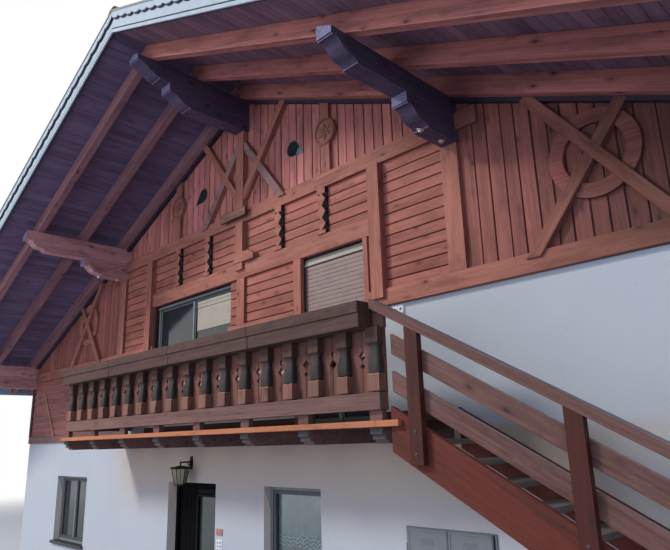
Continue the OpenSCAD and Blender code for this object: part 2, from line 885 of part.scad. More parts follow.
// One edge of a baluster, from its foot to its cap
function baluster_edge(full, h) = concat([[full, 0], [full, foot_h]],
    [for (i = [0 : vase_steps])
        [full * vase(i / vase_steps), foot_h + (h - foot_h - cap_h) * i / vase_steps]],
    [[full, h - cap_h], [full, h]]);

// Carved block baluster: foot and cap are square, the vase between them swells on three sides
module baluster() {
    h = baluster_top_z - bottom_rail_top;
    edge = baluster_edge(baluster_w / 2, h);
    face = baluster_edge(baluster_d, h);
    intersection() {
        along_y(-over, baluster_d) {
            polygon(concat([[0, 0]], edge, [[0, h]]));
            mirror([1, 0]) polygon(concat([[0, 0]], edge, [[0, h]]));
        }
        along_x(-baluster_w, baluster_w) translate([baluster_d, 0])
            mirror([1, 0]) polygon(concat([[0, 0]], face, [[0, h]]));
    }
}

module balustrade() {
    color(grey_wood) from_front()
        for (i = [0 : baluster_count - 1])
            translate([block_x - i * baluster_pitch, block_front_y, bottom_rail_top]) baluster();
}

keyhole_z = 307;
keyhole_big = 62;
keyhole_small = 38;

// Cut-out of two diamonds on a joint between two boards, the large one above where up is 1
module keyhole(up) {
    translate([0, up * keyhole_small / 2]) rotate(45) square(keyhole_big, center = true);
    translate([0, -up * (keyhole_small / 2 + (keyhole_big + keyhole_small) * 0.55)])
        rotate(45) square(keyhole_small, center = true);
}

module balustrade_boards() {
    h = baluster_top_z - bottom_rail_top;
    color(grey_wood) from_front() {
        translate([0, 0, bottom_rail_top]) along_y(board_y0, board_y1) difference() {
            area(rail_x0, rail_x1, 0, h);
            for (i = [0 : baluster_count - 2])
                translate([block_x - (i + 0.5) * baluster_pitch, keyhole_z]) keyhole(i % 2 == 0 ? 1 : -1);
        }
        block(rail_x0, rail_x0 + rail_board_t, board_y1, beam_proud, bottom_rail_top, baluster_top_z);
    }
}

top_rail_t = 45;
spacer_d = 60;
spacer_inset = 5;

module balustrade_rails() {
    rail_y0 = -balcony_d + spacer_inset;
    top_rail_z = baluster_top_z + top_rail_h;
    color(grey_wood) from_front() {
        block(rail_x0, rail_x1, block_front_y, board_y1, bottom_rail_z, bottom_rail_top);
        block(rail_x0, rail_x0 + top_rail_t, board_y1, beam_proud, bottom_rail_z, bottom_rail_top);
        for (x = joist_x)
            block(max(x - joist_w / 2, rail_x0), x + joist_w / 2, rail_y0, rail_y0 + spacer_d,
                deck_z, bottom_rail_z);
        block(rail_x0, rail_x1, board_y0, board_y0 + top_rail_t, baluster_top_z, top_rail_z);
        block(rail_x0, rail_x0 + top_rail_t, board_y0 + top_rail_t, beam_proud, baluster_top_z, top_rail_z);
    }
}

box_count = 4;
box_wall = 25;
box_gap = 10;
box_end_gap = 112;
box_lap = 15;
box_upper_h = 102;
box_x1 = rail_x1 - box_end_gap;
box_x0 = rail_x0;
box_l = (box_x1 - box_x0 - (box_count - 1) * box_gap) / box_count;

// Flower box whose upper front board laps over the lower one
module flower_box() {
    difference() {
        union() {
            translate([0, box_lap, 0]) cube([box_l, box_w - box_lap, box_h]);
            translate([0, 0, box_h - box_upper_h]) cube([box_l, box_w, box_upper_h]);
        }
        translate([box_wall, box_lap + box_wall, box_wall])
            cube([box_l - 2 * box_wall, box_w - box_lap - 2 * box_wall, box_h]);
    }
}

module flower_boxes() {
    color(grey_wood) from_front()
        for (i = [0 : box_count - 1])
            translate([box_x0 + i * (box_l + box_gap), board_y0 - box_w, baluster_top_z]) flower_box();
}

// Stair

stair_x0 = balcony_x1;
outer_stringer_y = -balcony_d;
first_post_in = 285;
stair_post_x = [for (i = [0 : 3]) stair_x0 + first_post_in + i * stair_post_step];
stair_board_x0 = stair_x0 + 30;
stair_board_t = 40;
low_board_gap = 130;
board_step = 305;
handrail_w = 110;
handrail_end = 600;

// Height of the line through the nosings
function nosing_z(x) = deck_z - nosing_slope * (x - stair_x0);
function stringer_top(x) = nosing_z(x) + stringer_above;

module stringer_outline() {
    x_end = stair_x0 + (deck_z + stringer_above) / nosing_slope;
    x_low = stair_x0 + (deck_z - stringer_below) / nosing_slope;
    polygon([[stair_x0, nosing_z(stair_x0) - stringer_below], [stair_x0, stringer_top(stair_x0)],
        [x_end, 0], [x_low, 0]]);
}

module stair_stringers() {
    color(wood) from_front() {
        along_y(outer_stringer_y, outer_stringer_y + stringer_t) stringer_outline();
        along_y(beam_proud - stringer_t, beam_proud) stringer_outline();
    }
}

module stair_treads() {
    color(grey_wood) from_front()
        for (i = [1 : risers - 1])
            block(stair_x0 + (i - 1) * going, stair_x0 + i * going, outer_stringer_y + stringer_t,
                beam_proud - stringer_t, deck_z - i * rise - tread_t, deck_z - i * rise);
}

// Sloping band between two upright offsets from the top of the stringer
module sloped_rail(x0, x1, low, high) {
    polygon([[x0, stringer_top(x0) + low], [x1, stringer_top(x1) + low],
        [x1, stringer_top(x1) + high], [x0, stringer_top(x0) + high]]);
}

module stair_posts() {
    post_below = 300;
    color(wood) from_front()
        for (x = stair_post_x) {
            x0 = x - stair_post_w / 2;
            x1 = x + stair_post_w / 2;
            top = handrail_rise - handrail_h - seat;
            along_y(outer_stringer_y - stair_post_t, outer_stringer_y)
                polygon([[x0, stringer_top(x) - post_below], [x1, stringer_top(x) - post_below],
                    [x1, stringer_top(x1) + top], [x0, stringer_top(x0) + top]]);
        }
}

module stair_rails() {
    board_x1 = stair_post_x[3] + stair_post_w / 2 + handrail_end - 50;
    handrail_x1 = stair_post_x[3] + stair_post_w / 2 + handrail_end;
    handrail_y1 = board_y0;
    color(wood) from_front() {
        for (low = [low_board_gap, low_board_gap + board_step])
            along_y(outer_stringer_y, outer_stringer_y + stair_board_t)
                sloped_rail(stair_board_x0, board_x1, low, low + stair_rail_h);
        along_y(handrail_y1 - handrail_w, handrail_y1)
            sloped_rail(rail_x1 - stair_post_t, handrail_x1, handrail_rise - handrail_h, handrail_rise);
    }
}

// Windows and doors

window_y = beam_proud + 100;
bay_frame_y = beam_proud + 50;
pane_rebate = 20;
pane_y = 30;
bay_window_h = head_beam_z - bay_sill_z;
bay_door_h = head_beam_z - deck_z;

// Window frame with one middle bar and a rebate for its pane behind the bar
module window_frame(w, h) {
    light_w = w / 2 - 1.5 * frame_w;
    difference() {
        cube([w, frame_t, h]);
        translate([frame_w, -over, frame_w]) cube([light_w, frame_t + 2 * over, h - 2 * frame_w]);
        translate([w / 2 + frame_w / 2, -over, frame_w]) cube([light_w, frame_t + 2 * over, h - 2 * frame_w]);
        translate([frame_w - pane_rebate, pane_y, frame_w - pane_rebate])
            cube([w - 2 * (frame_w - pane_rebate), frame_t, h - 2 * (frame_w - pane_rebate)]);
    }
}

module window_pane(w, h) {
    translate([frame_w - pane_rebate, pane_y, frame_w - pane_rebate])
        cube([w - 2 * (frame_w - pane_rebate), glass_t, h - 2 * (frame_w - pane_rebate)]);
}

// Puts children(0), (1), (2) and (3) into the four openings of the front
module front_openings() {
    translate([window1_x, window_y, sill_z]) children(0);
    translate([window2_x, window_y, sill_z]) children(1);
    translate([bay_window_x, bay_frame_y, bay_sill_z]) children(2);
    translate([bay_door_x, bay_frame_y, deck_z]) children(3);
}

// Puts its child into every window of the sides and the back
module other_openings() {
    reveal = window_y - beam_proud;
    for (share = side_window_y) {
        translate([-half_w + reveal, side_y(share) + side_window_w / 2, sill_z])
            rotate([0, 0, -90]) children();
        translate([half_w - reveal, side_y(share) - side_window_w / 2, sill_z]) rotate([0, 0, 90]) children();
    }
    for (share = back_window_share)
        translate([half_w * share + side_window_w / 2, back_y - reveal, sill_z])
            rotate([0, 0, 180]) children();
    for (share = back_upper_share)
        translate([half_w * share + side_window_w / 2, back_y - (bay_frame_y - beam_proud), bay_sill_z])
            rotate([0, 0, 180]) children();
}

module window_frames() {
    color("#8c8f92") from_front() front_openings() {
        window_frame(window1_w, window_h);
        window_frame(window2_w, window_h);
        window_frame(bay_window_w, bay_window_h);
        window_frame(bay_door_w, bay_door_h);
    }
}

module side_window_frames() {
    color("#8c8f92") from_front() other_openings() window_frame(side_window_w, window_h);
}

module window_glass() {
    color("#a9c0cc") from_front() {
        front_openings() {
            window_pane(window1_w, window_h);
            window_pane(window2_w, window_h);
            window_pane(bay_window_w, bay_window_h);
            window_pane(bay_door_w, bay_door_h);
        }
        other_openings() window_pane(side_window_w, window_h);
        both_sides() along_y(timber_y1 - 2 * glass_t, timber_y1 - glass_t) drop_outline(drop_r - seat);
    }
}

door_frame_w = 60;
door_gap = 8;
door_y0 = beam_proud + 175;
door_t = 60;
door_frame_y0 = door_y0 - 40;
door_back_y = door_y0 + door_t;
door_in_x0 = door_x + door_frame_w + door_gap;
door_in_x1 = door_x + door_w - door_frame_w - door_gap;
door_z0 = slab_t + door_gap;
door_z1 = door_top - door_frame_w - door_gap;

// Hinges: a pin on the frame inside a knuckle on the leaf
pin_r = 5;
knuckle_r = 10;
knuckle_bore = pin_r + 0.1;
hinge_x = door_in_x0 - 3;
hinge_y = door_back_y + 5 + knuckle_r;
low_hinge_up = 250;
high_hinge_down = 350;
hinge_z = [door_z0 + low_hinge_up, door_z1 - high_hinge_down];
knuckle_h = 90;
lug_h = 14;
strap_t = 8;
strap_l = 120;

module door_frame() {
    color(dark_wood) from_front() {
        difference() {
            block(door_x, door_x + door_w, door_frame_y0, door_back_y, slab_t, door_top);
            block(door_x + door_frame_w, door_x + door_w - door_frame_w, door_frame_y0 - over,
                door_back_y + over, slab_t - over, door_top - door_frame_w);
        }
        for (z = hinge_z) {
            translate([hinge_x, hinge_y, z]) cylinder(h = lug_h, r = knuckle_r, $fn = 48);
            translate([hinge_x, hinge_y, z]) cylinder(h = lug_h + knuckle_h, r = pin_r, $fn = 48);
            block(door_x + 10, door_x + door_frame_w - 1, door_back_y, hinge_y, z, z + lug_h);
            block(door_x + 10, hinge_x, hinge_y - pin_r, hinge_y + pin_r, z, z + lug_h);
        }
    }
}

door_glass_x0 = -1240;
door_glass_w = 480;
door_glass_z0 = 1100;
door_glass_drop = 130;

module door_glass_hole(y0, y1) {
    block(door_glass_x0, door_glass_x0 + door_glass_w, y0, y1, door_glass_z0, door_z1 - door_glass_drop);
}

module front_door() {
    color(dark_wood) from_front() {
        difference() {
            block(door_in_x0, door_in_x1, door_y0, door_back_y, door_z0, door_z1);
            door_glass_hole(door_y0 - over, door_back_y + over);
        }
        for (z = hinge_z)
            difference() {
                union() {
                    translate([hinge_x, hinge_y, z + lug_h + seat])
                        cylinder(h = knuckle_h, r = knuckle_r, $fn = 48);
                    block(hinge_x, door_in_x0 + strap_l, door_back_y, door_back_y + strap_t,
                        z + lug_h + seat, z + lug_h + seat + knuckle_h);
                }
                translate([hinge_x, hinge_y, z])
                    cylinder(h = lug_h + 2 * knuckle_h, r = knuckle_bore, $fn = 48);
            }
    }
}

module door_glass() {
    color("#a9c0cc") from_front() door_glass_hole(door_y0 + 25, door_y0 + 25 + glass_t);
}

handle_z = 1080;
handle_in = 65;
handle_reach = 40;
handle_r = 9;
grip_l = 130;
grip_t = 12;
grip_h = 20;

module door_handle() {
    color("silver") from_front() {
        translate([door_in_x1 - handle_in, door_y0, handle_z]) rotate([90, 0, 0])
            cylinder(h = handle_reach, r = handle_r, $fn = 32);
        translate([door_in_x1 - handle_in + grip_h / 2 - grip_l, door_y0 - handle_reach - grip_t,
            handle_z - grip_h / 2]) cube([grip_l, grip_t, grip_h]);
    }
}

lantern_x = -1170;
lantern_z = 2320;
lantern_y = -120;
lantern_r = 120;
lantern_foot_r = 75;
lantern_h = 225;
lantern_roof_h = 70;
lantern_roof_lip = 20;
lantern_tip_r = 15;
lantern_arm = 20;
lantern_plate_w = 70;
lantern_plate_h = 180;
lantern_plate_t = 15;

module lantern() {
    body_z = lantern_z - lantern_h - lantern_roof_h;
    color(dark_metal) from_front() {
        block(lantern_x - lantern_plate_w / 2, lantern_x + lantern_plate_w / 2,
            beam_proud - lantern_plate_t, beam_proud,
            lantern_z - lantern_plate_h / 2, lantern_z + lantern_plate_h / 2);
        block(lantern_x - lantern_arm / 2, lantern_x + lantern_arm / 2,
            lantern_y, beam_proud - lantern_plate_t, lantern_z, lantern_z + lantern_arm);
        translate([lantern_x, lantern_y, body_z])
            cylinder(h = lantern_h, r1 = lantern_foot_r, r2 = lantern_r, $fn = 6);
        translate([lantern_x, lantern_y, body_z + lantern_h])
            cylinder(h = lantern_roof_h, r1 = lantern_r + lantern_roof_lip, r2 = lantern_tip_r, $fn = 6);
    }
}

cabinet_wall = 20;
cabinet_lip = 15;
leaf_t = 18;
leaf_gap = 5;
leaf_side_gap = 26;
cabinet_face_y = beam_proud - cabinet_lip;
leaf_y1 = cabinet_face_y - leaf_gap;
leaf_y0 = leaf_y1 - leaf_t;
leaf_hinge_in = 12;
leaf_hinge_y = leaf_y0 + leaf_t / 2;
leaf_knuckle_r = 8;
leaf_pin_r = 4;
leaf_bore = leaf_pin_r + 0.1;
leaf_hinge_z = [cabinet_z + 120, cabinet_z + cabinet_h - 220];
leaf_knuckle_h = 60;

module cabinet_lug(x) {
    for (z = leaf_hinge_z) {
        translate([x, leaf_hinge_y, z]) cylinder(h = lug_h, r = leaf_knuckle_r, $fn = 48);
        translate([x, leaf_hinge_y, z]) cylinder(h = lug_h + leaf_knuckle_h, r = leaf_pin_r, $fn = 48);
        block(x - 5, x + 5, leaf_hinge_y, cabinet_face_y, z, z + lug_h);
    }
}

module meter_cabinet() {
    color(cabinet_grey) from_front() {
        difference() {
            block(cabinet_x, cabinet_x + cabinet_w, cabinet_face_y, beam_proud + cabinet_d,
                cabinet_z, cabinet_z + cabinet_h);
            block(cabinet_x + cabinet_wall, cabinet_x + cabinet_w - cabinet_wall, 0,
                beam_proud + cabinet_d - cabinet_wall,
                cabinet_z + cabinet_wall, cabinet_z + cabinet_h - cabinet_wall);
        }
        cabinet_lug(cabinet_x + leaf_hinge_in);
        cabinet_lug(cabinet_x + cabinet_w - leaf_hinge_in);
    }
}

// Left leaf of the cabinet, drawn from its hinge line
module cabinet_leaf() {
    leaf_w = cabinet_w / 2 - leaf_hinge_in - 3;
    from_hinge = leaf_side_gap - leaf_hinge_in;
    difference() {
        union() {
            block(from_hinge, leaf_w, -leaf_t / 2, leaf_t / 2, cabinet_z + 5, cabinet_z + cabinet_h - 5);
            for (z = leaf_hinge_z) {
                translate([0, 0, z + lug_h + seat])
                    cylinder(h = leaf_knuckle_h, r = leaf_knuckle_r, $fn = 48);
                block(0, from_hinge, -3, 3, z + lug_h + seat, z + lug_h + seat + leaf_knuckle_h);
            }
        }
        for (z = leaf_hinge_z)
            translate([0, 0, z]) cylinder(h = lug_h + 2 * leaf_knuckle_h, r = leaf_bore, $fn = 48);
    }
}

module cabinet_door_left() {
    color(cabinet_grey) from_front() translate([cabinet_x + leaf_hinge_in, leaf_hinge_y, 0]) cabinet_leaf();
}

module cabinet_door_right() {
    color(cabinet_grey) from_front() translate([cabinet_x + cabinet_w - leaf_hinge_in, leaf_hinge_y, 0])
        mirror([1, 0, 0]) cabinet_leaf();
}

ground_slab();
front_wall_left();
wall_over_door();
front_wall_middle();
front_wall_right();
upper_masonry_right();
side_wall_right();
side_wall_left();
back_wall();
upper_floor();
knee_wall_left();
upper_side_wall_left();
bay_wall();
gable_wall_left();
gable_wall_right();
gable_wall_top();
back_gable_wall();
ridge_purlin();
mid_purlins();
eave_purlins();
wall_plates();
corbels();
rafters_left();
rafters_right();
roof_boarding_left();
roof_boarding_right();
roof_cover_left();
roof_cover_right();
verge_boards();
eave_boards();
base_beams();
head_beam();
mid_beam();
facade_posts();
corner_posts();
wheel_ornaments();
gable_ornaments();
knee_wall_cladding();
balcony_joists();
balcony_deck();
balustrade();
balustrade_boards();
balustrade_rails();
flower_boxes();
stair_stringers();
stair_treads();
stair_posts();
stair_rails();
window_frames();
side_window_frames();
window_glass();
door_frame();
front_door();
door_glass();
door_handle();
lantern();
meter_cabinet();
cabinet_door_left();
cabinet_door_right();
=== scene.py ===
"""Looks of the alpine chalet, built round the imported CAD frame. Metres, Z up."""

import math
import random

import bmesh
import bpy
from mathutils import Matrix, Vector


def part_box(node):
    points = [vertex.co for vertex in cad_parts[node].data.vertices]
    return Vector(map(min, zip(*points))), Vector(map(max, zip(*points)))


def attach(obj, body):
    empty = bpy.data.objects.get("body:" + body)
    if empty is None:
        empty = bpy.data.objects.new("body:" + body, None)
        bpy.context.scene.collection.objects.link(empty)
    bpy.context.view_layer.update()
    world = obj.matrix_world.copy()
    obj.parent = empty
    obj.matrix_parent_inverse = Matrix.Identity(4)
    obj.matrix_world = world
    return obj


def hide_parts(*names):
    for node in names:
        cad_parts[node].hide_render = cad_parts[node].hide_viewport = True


bl_info = {
    "name": "Alpine chalet looks",
    "version": (1, 0, 0),
    "blender": (4, 5, 0),
    "location": "3D View > Sidebar > Chalet",
    "description": "Boards, tiles, fittings and finishes of an alpine chalet",
    "category": "Object",
}

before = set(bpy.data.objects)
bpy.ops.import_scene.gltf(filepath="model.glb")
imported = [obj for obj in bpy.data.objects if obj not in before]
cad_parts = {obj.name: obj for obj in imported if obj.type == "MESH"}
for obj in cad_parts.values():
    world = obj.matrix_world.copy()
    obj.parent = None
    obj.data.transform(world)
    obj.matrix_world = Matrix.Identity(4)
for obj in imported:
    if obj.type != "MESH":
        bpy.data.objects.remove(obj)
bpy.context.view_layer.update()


# Places read from the frame


def low(node):
    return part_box(node)[0]


def high(node):
    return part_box(node)[1]


FRONT = low("head_beam").y
WALL = low("front_wall_left").y
BACK = high("back_wall").y
HALF_W = high("front_wall_right").x
RIDGE = high("ridge_purlin").z
RAFTER_V = low("roof_boarding_right").z - low("rafters_right").z
BOARD_V = low("roof_cover_right").z - low("roof_boarding_right").z
COVER_TOP = high("roof_cover_right").z - RIDGE
COVER_X = high("rafters_right").x
SLOPE = (RIDGE - low("rafters_right").z) / COVER_X
PITCH = math.atan(SLOPE)
ROOF_Y0, ROOF_Y1 = low("roof_cover_right").y, high("roof_cover_right").y
SIDE_X = high("eave_purlins").x - 0.18
MASONRY_Z = high("front_wall_left").z
SIDE_WALL_Z = high("side_wall_right").z
BASE_TOP = high("base_beams").z
BASE_LOW = low("base_beams").z
HEAD_LOW, HEAD_TOP = low("head_beam").z, high("head_beam").z
MID_LOW, MID_TOP = low("mid_beam").z, high("mid_beam").z
DECK_Z = high("balcony_deck").z
CORBEL_DROP = 0.26
# Half the width of the ridge purlin, and the edges of the mid purlin, from the middle of the house
RIDGE_HALF = 0.11
PURLIN_IN, PURLIN_OUT = 3.42, 3.6
# Half the width of the post in the middle of the bay
CENTRE_HALF = 0.085
# Outer stair: its first nosing at the deck, its number of risers and the going of a tread
STAIR_X = 3.38
RISERS = 17
GOING = 0.286
STAIR_SLOPE = DECK_Z / RISERS / GOING
# Openings of the front: left edge, right edge and foot. Those of the bay reach up to the head beam
BAY_WINDOW = (-2.37, -0.28, 3.614)
BAY_DOOR = (1.24, 2.28, 2.714)
LEFT_WINDOW = (-5.88, -4.58, 0.91)
NARROW_WINDOW = (0.456, 1.460, 0.91)
GROUND_HEAD = 2.05
SIDES = ((-1, "left"), (1, "right"))


def under(x):
    """Height of the rafter undersides at a distance from the ridge line."""
    return RIDGE - SLOPE * abs(x)


# Colours


def linear(text):
    """A colour given as a web hex code, as linear light."""
    parts = [int(text[i:i + 2], 16) / 255 for i in (1, 3, 5)]
    return tuple(c / 12.92 if c <= 0.04045 else ((c + 0.055) / 1.055) ** 2.4 for c in parts)


def colour(name, description, default):
    return bpy.props.FloatVectorProperty(
        name=name, description=description, subtype="COLOR", size=3, min=0, max=1, default=linear(default))


def length(name, description, default):
    return bpy.props.FloatProperty(
        name=name, description=description, default=default, min=0.0005, unit="LENGTH", subtype="DISTANCE")


class ChaletColours(bpy.types.PropertyGroup):
    """Colours of the finishes."""

    facade: colour("Facade timber", "Red-brown stain of the beams and posts", "#b1715f")
    facade_dark: colour("Facade timber, dark", "Dark growth rings of the facade timber", "#6f3b30")
    boards: colour("Bay boards", "Horizontal boards between the posts", "#b06b5a")
    boards_dark: colour("Bay boards, dark", "Dark growth rings of the bay boards", "#6a382f")
    gable: colour("Gable boards", "Upright boards of the gable", "#c97c70")
    gable_dark: colour("Gable boards, dark", "Dark growth rings of the gable boards", "#6c3f3e")
    wing: colour("Wing boards", "Upright boards of the two wings", "#9d5c50")
    wing_dark: colour("Wing boards, dark", "Dark growth rings of the wing boards", "#4c2e2b")
    grey_brace: colour("Grey brace", "Braces that have turned grey", "#8d7670")
    # The dark blue of the purlins is painted shade and painted blue sky light; the pale red of the eave
    # purlins is partly paler wood and mostly painted light
    purlin: colour("Purlins", "Stain of purlins and corbels", "#5f4f63")
    purlin_dark: colour("Purlins, dark", "Dark growth rings of the purlins", "#342a3a")
    eave: colour("Eave purlins", "Stain of the purlins and corbels at the eaves", "#dda09b")
    eave_dark: colour("Eave purlins, dark", "Dark growth rings of the eave purlins", "#845450")
    # The rafters and roof boards are bluish on the left slope and warmer on the right as painted light; the
    # purple of the roof boards is painted blue sky light on dark wood
    rafter: colour("Rafters", "Stain of the rafters", "#a27270")
    rafter_dark: colour("Rafters, dark", "Dark growth rings of the rafters", "#603f44")
    rafter_right: colour("Rafters, right", "Warmer stain of the rafters of the right slope", "#c47869")
    soffit_right: colour("Roof boards, right", "Roof boards of the right slope", "#8f6870")
    soffit: colour("Roof boards", "Dark boards under the tiles", "#7a6379")
    soffit_dark: colour("Roof boards, dark", "Dark growth rings of the roof boards", "#4d3d50")
    block: colour("Baluster blocks", "Brown wood of the square ends of the balusters", "#8c6250")
    block_dark: colour("Baluster blocks, dark", "Dark growth rings of the balusters", "#4c332b")
    # The dark grey of the vases is partly weathered wood and partly painted shade of their recess between the
    # blocks
    vase: colour("Baluster vases", "Grey weathered wood between the blocks", "#38312e")
    vase_dark: colour("Baluster vases, dark", "Dark streaks of the vases", "#1a1715")
    keyhole: colour("Balustrade boards", "Red-brown boards with the cut-outs", "#784c41")
    keyhole_dark: colour("Balustrade boards, dark", "Dark growth rings of these boards", "#3e261f")
    rail: colour("Balustrade rails", "Brown wood of the rails", "#7d5950")
    rail_dark: colour("Balustrade rails, dark", "Dark growth rings of the rails", "#4a342f")
    box: colour("Flower boxes", "Dark brown wood of the flower boxes", "#553831")
    box_dark: colour("Flower boxes, dark", "Dark growth rings of the flower boxes", "#2f1f1c")
    stair: colour("Stair timber", "Warm stain of the stringers", "#6a2c20")
    stair_dark: colour("Stair timber, dark", "Dark growth rings of the stair", "#3b1b14")
    tread: colour("Treads", "Grey worn wood of the treads", "#8b8078")
    deck: colour("Deck edge", "Fresh stain of the deck's edge board", "#c87c54")
    plaster: colour("Lime render", "White lime render of the masonry", "#bcc0c5")
    verge: colour("Verge boards", "Pale paint of the verge boards", "#a4b1b8")
    tile: colour("Roof tiles", "Brown concrete tiles", "#7a5b4c")
    window: colour("Window paint", "Grey paint of the window frames", "#74797a")
    door: colour("Door stain", "Near-black stain of the front door", "#0d0c0e")
    cabinet: colour("Cabinet paint", "Grey sheet metal of the meter cabinet", "#727476")


class ChaletSizes(bpy.types.PropertyGroup):
    """Sizes of the pieces that the CAD frame leaves out."""

    bay_pitch: length("Bay board pitch", "Height of one horizontal board with its joint", 0.122)
    gable_pitch: length("Gable board pitch", "Width of one upright board with its joint", 0.149)
    joint: length("Joint", "Open joint between two boards", 0.012)
    soffit_pitch: length("Roof board pitch", "Width of one roof board with its joint", 0.122)
    tile_w: length("Tile width", "Cover width of a roof tile", 0.300)
    tile_l: length("Tile length", "Course height of the roof tiles", 0.345)
    edge: length("Edge rounding", "Rounding of the edges of beams and posts", 0.005)


# Shader graphs


class Value:
    """A number socket of a shader graph that takes part in Python sums."""

    def __init__(self, graph, socket):
        self.graph = graph
        self.socket = socket

    def apply(self, operation, *terms):
        node = self.graph.node("ShaderNodeMath", {"operation": operation}, dict(enumerate(terms)))
        return Value(self.graph, node.outputs[0])

    def __add__(self, other):
        return self.apply("ADD", self, other)

    def __radd__(self, other):
        return self.apply("ADD", other, self)

    def __sub__(self, other):
        return self.apply("SUBTRACT", self, other)

    def __rsub__(self, other):
        return self.apply("SUBTRACT", other, self)

    def __mul__(self, other):
        return self.apply("MULTIPLY", self, other)

    def __rmul__(self, other):
        return self.apply("MULTIPLY", other, self)

    def __pow__(self, other):
        return self.apply("POWER", self, other)

    def __abs__(self):
        return self.apply("ABSOLUTE", self)

    def sine(self):
        return self.apply("SINE", self)

    def larger(self, other):
        return self.apply("MAXIMUM", self, other)

    def smaller(self, other):
        return self.apply("MINIMUM", self, other)

    def step(self, start, end):
        """0 below start, 1 above end, with a smooth change between them."""
        node = self.graph.node(
            "ShaderNodeMapRange", {"interpolation_type": "SMOOTHSTEP"},
            {"Value": self, "From Min": start, "From Max": end})
        return Value(self.graph, node.outputs["Result"])


def opaque(value):
    """A colour with its alpha. A socket stays as it is."""
    return value if isinstance(value, bpy.types.NodeSocket) else (*value, 1.0)


class Graph:
    """The nodes of one material or world, and the few kinds of node that its maths needs."""

    def __init__(self, name, world=False):
        self.owner = (bpy.data.worlds if world else bpy.data.materials).new(name)
        self.output = "ShaderNodeOutputWorld" if world else "ShaderNodeOutputMaterial"
        self.owner.use_nodes = True
        self.tree = self.owner.node_tree
        self.tree.nodes.clear()

    def node(self, kind, settings=None, inputs=None):
        """A node of a kind, with its settings and the values or links of its sockets."""
        made = self.tree.nodes.new(kind)
        for key, value in (settings or {}).items():
            setattr(made, key, value)
        for key, value in (inputs or {}).items():
            self.feed(made.inputs[key], value)
        return made

    def feed(self, socket, value):
        if isinstance(value, Value):
            value = value.socket
        if isinstance(value, bpy.types.NodeSocket):
            self.tree.links.new(value, socket)
        else:
            socket.default_value = value

    def number(self, node, output):
        return Value(self, node.outputs[output])

    def place(self):
        """Position on the object at rest, in metres."""
        return self.node("ShaderNodeTexCoord").outputs["Object"]

    def island(self):
        """A random number for each separate part of a mesh."""
        return self.number(self.node("ShaderNodeNewGeometry"), "Random Per Island")

    def vector(self, operation, a, b):
        return self.node("ShaderNodeVectorMath", {"operation": operation}, {0: a, 1: b}).outputs[0]

    def scaled(self, vector, factor):
        return self.node(
            "ShaderNodeVectorMath", {"operation": "SCALE"}, {"Vector": vector, "Scale": factor}).outputs[0]

    def joined(self, x, y, z):
        return self.node("ShaderNodeCombineXYZ", {}, {"X": x, "Y": y, "Z": z}).outputs[0]

    def parts(self, vector):
        made = self.node("ShaderNodeSeparateXYZ", {}, {0: vector})
        return [self.number(made, axis) for axis in "XYZ"]

    def mix(self, factor, a, b, blend="MIX"):
        made = self.node("ShaderNodeMix", {"data_type": "RGBA", "blend_type": blend})
        named = {s.identifier: s for s in made.inputs}
        self.feed(named["Factor_Float"], factor)
        for key, value in (("A_Color", a), ("B_Color", b)):
            self.feed(named[key], opaque(value))
        return next(s for s in made.outputs if s.identifier == "Result_Color")

    def noise(self, vector, scale=1.0, detail=3.0, roughness=0.55):
        made = self.node("ShaderNodeTexNoise", {}, {
            "Vector": vector, "Scale": scale, "Detail": detail, "Roughness": roughness})
        return self.number(made, "Fac")

    def cells(self, vector, scale=1.0, feature="F1"):
        made = self.node("ShaderNodeTexVoronoi", {"feature": feature}, {"Vector": vector, "Scale": scale})
        return self.number(made, "Distance")

    def bump(self, height, distance, strength=1.0):
        return self.node("ShaderNodeBump", {}, {
            "Height": height, "Distance": distance, "Strength": strength}).outputs[0]

    def seen(self):
        """1 where a camera ray arrives, straight, off a gloss or through glass, and 0 for light."""
        path = self.node("ShaderNodeLightPath")
        direct = self.number(path, "Is Camera Ray").larger(self.number(path, "Is Glossy Ray"))
        return direct.larger(self.number(path, "Is Transmission Ray"))

    def surface(self, shader):
        """Ends the graph in a shader."""
        self.node(self.output, {}, {"Surface": shader.outputs[0]})
        return self.owner

    def principled(self, **inputs):
        """Ends the graph in a principled shader. Underscores in the names of its inputs stand for spaces."""
        fed = {key.replace("_", " "): value for key, value in inputs.items()}
        return self.surface(self.node("ShaderNodeBsdfPrincipled", {}, fed))


QUARTER = math.pi / 2
# Turns that bring the direction of the grain onto the texture's X axis
GRAINS = {
    "x": (0, 0, 0),
    "y": (0, 0, -QUARTER),
    "z": (0, QUARTER, 0),
    "right": (0, -PITCH, 0),
    "left": (0, PITCH, 0),
    "stair": (0, -math.atan(STAIR_SLOPE), 0),
    "brace_a": (0, -math.radians(53), 0),
    "brace_b": (0, math.radians(52), 0),
}


def shade(value, factor):
    """The colour made darker or lighter."""
    return tuple(min(1.0, c * factor) for c in value)


# Share by which the timber of the right wing is darker than that of the middle, partly weathered wood
# and partly painted shade, and where it turns dark
WEATHER_AND_SHADE = 0.58
WEATHER_AND_SHADE_START, WEATHER_AND_SHADE_END = 3.5, 5.6
# Distance under the rafters within which the timber is darker: partly wood kept out of sun and rain,
# partly painted shade of the roof
SHELTER_SHADE_NEAR, SHELTER_SHADE_FAR = 0.1, 1.6
TURN = 6.283


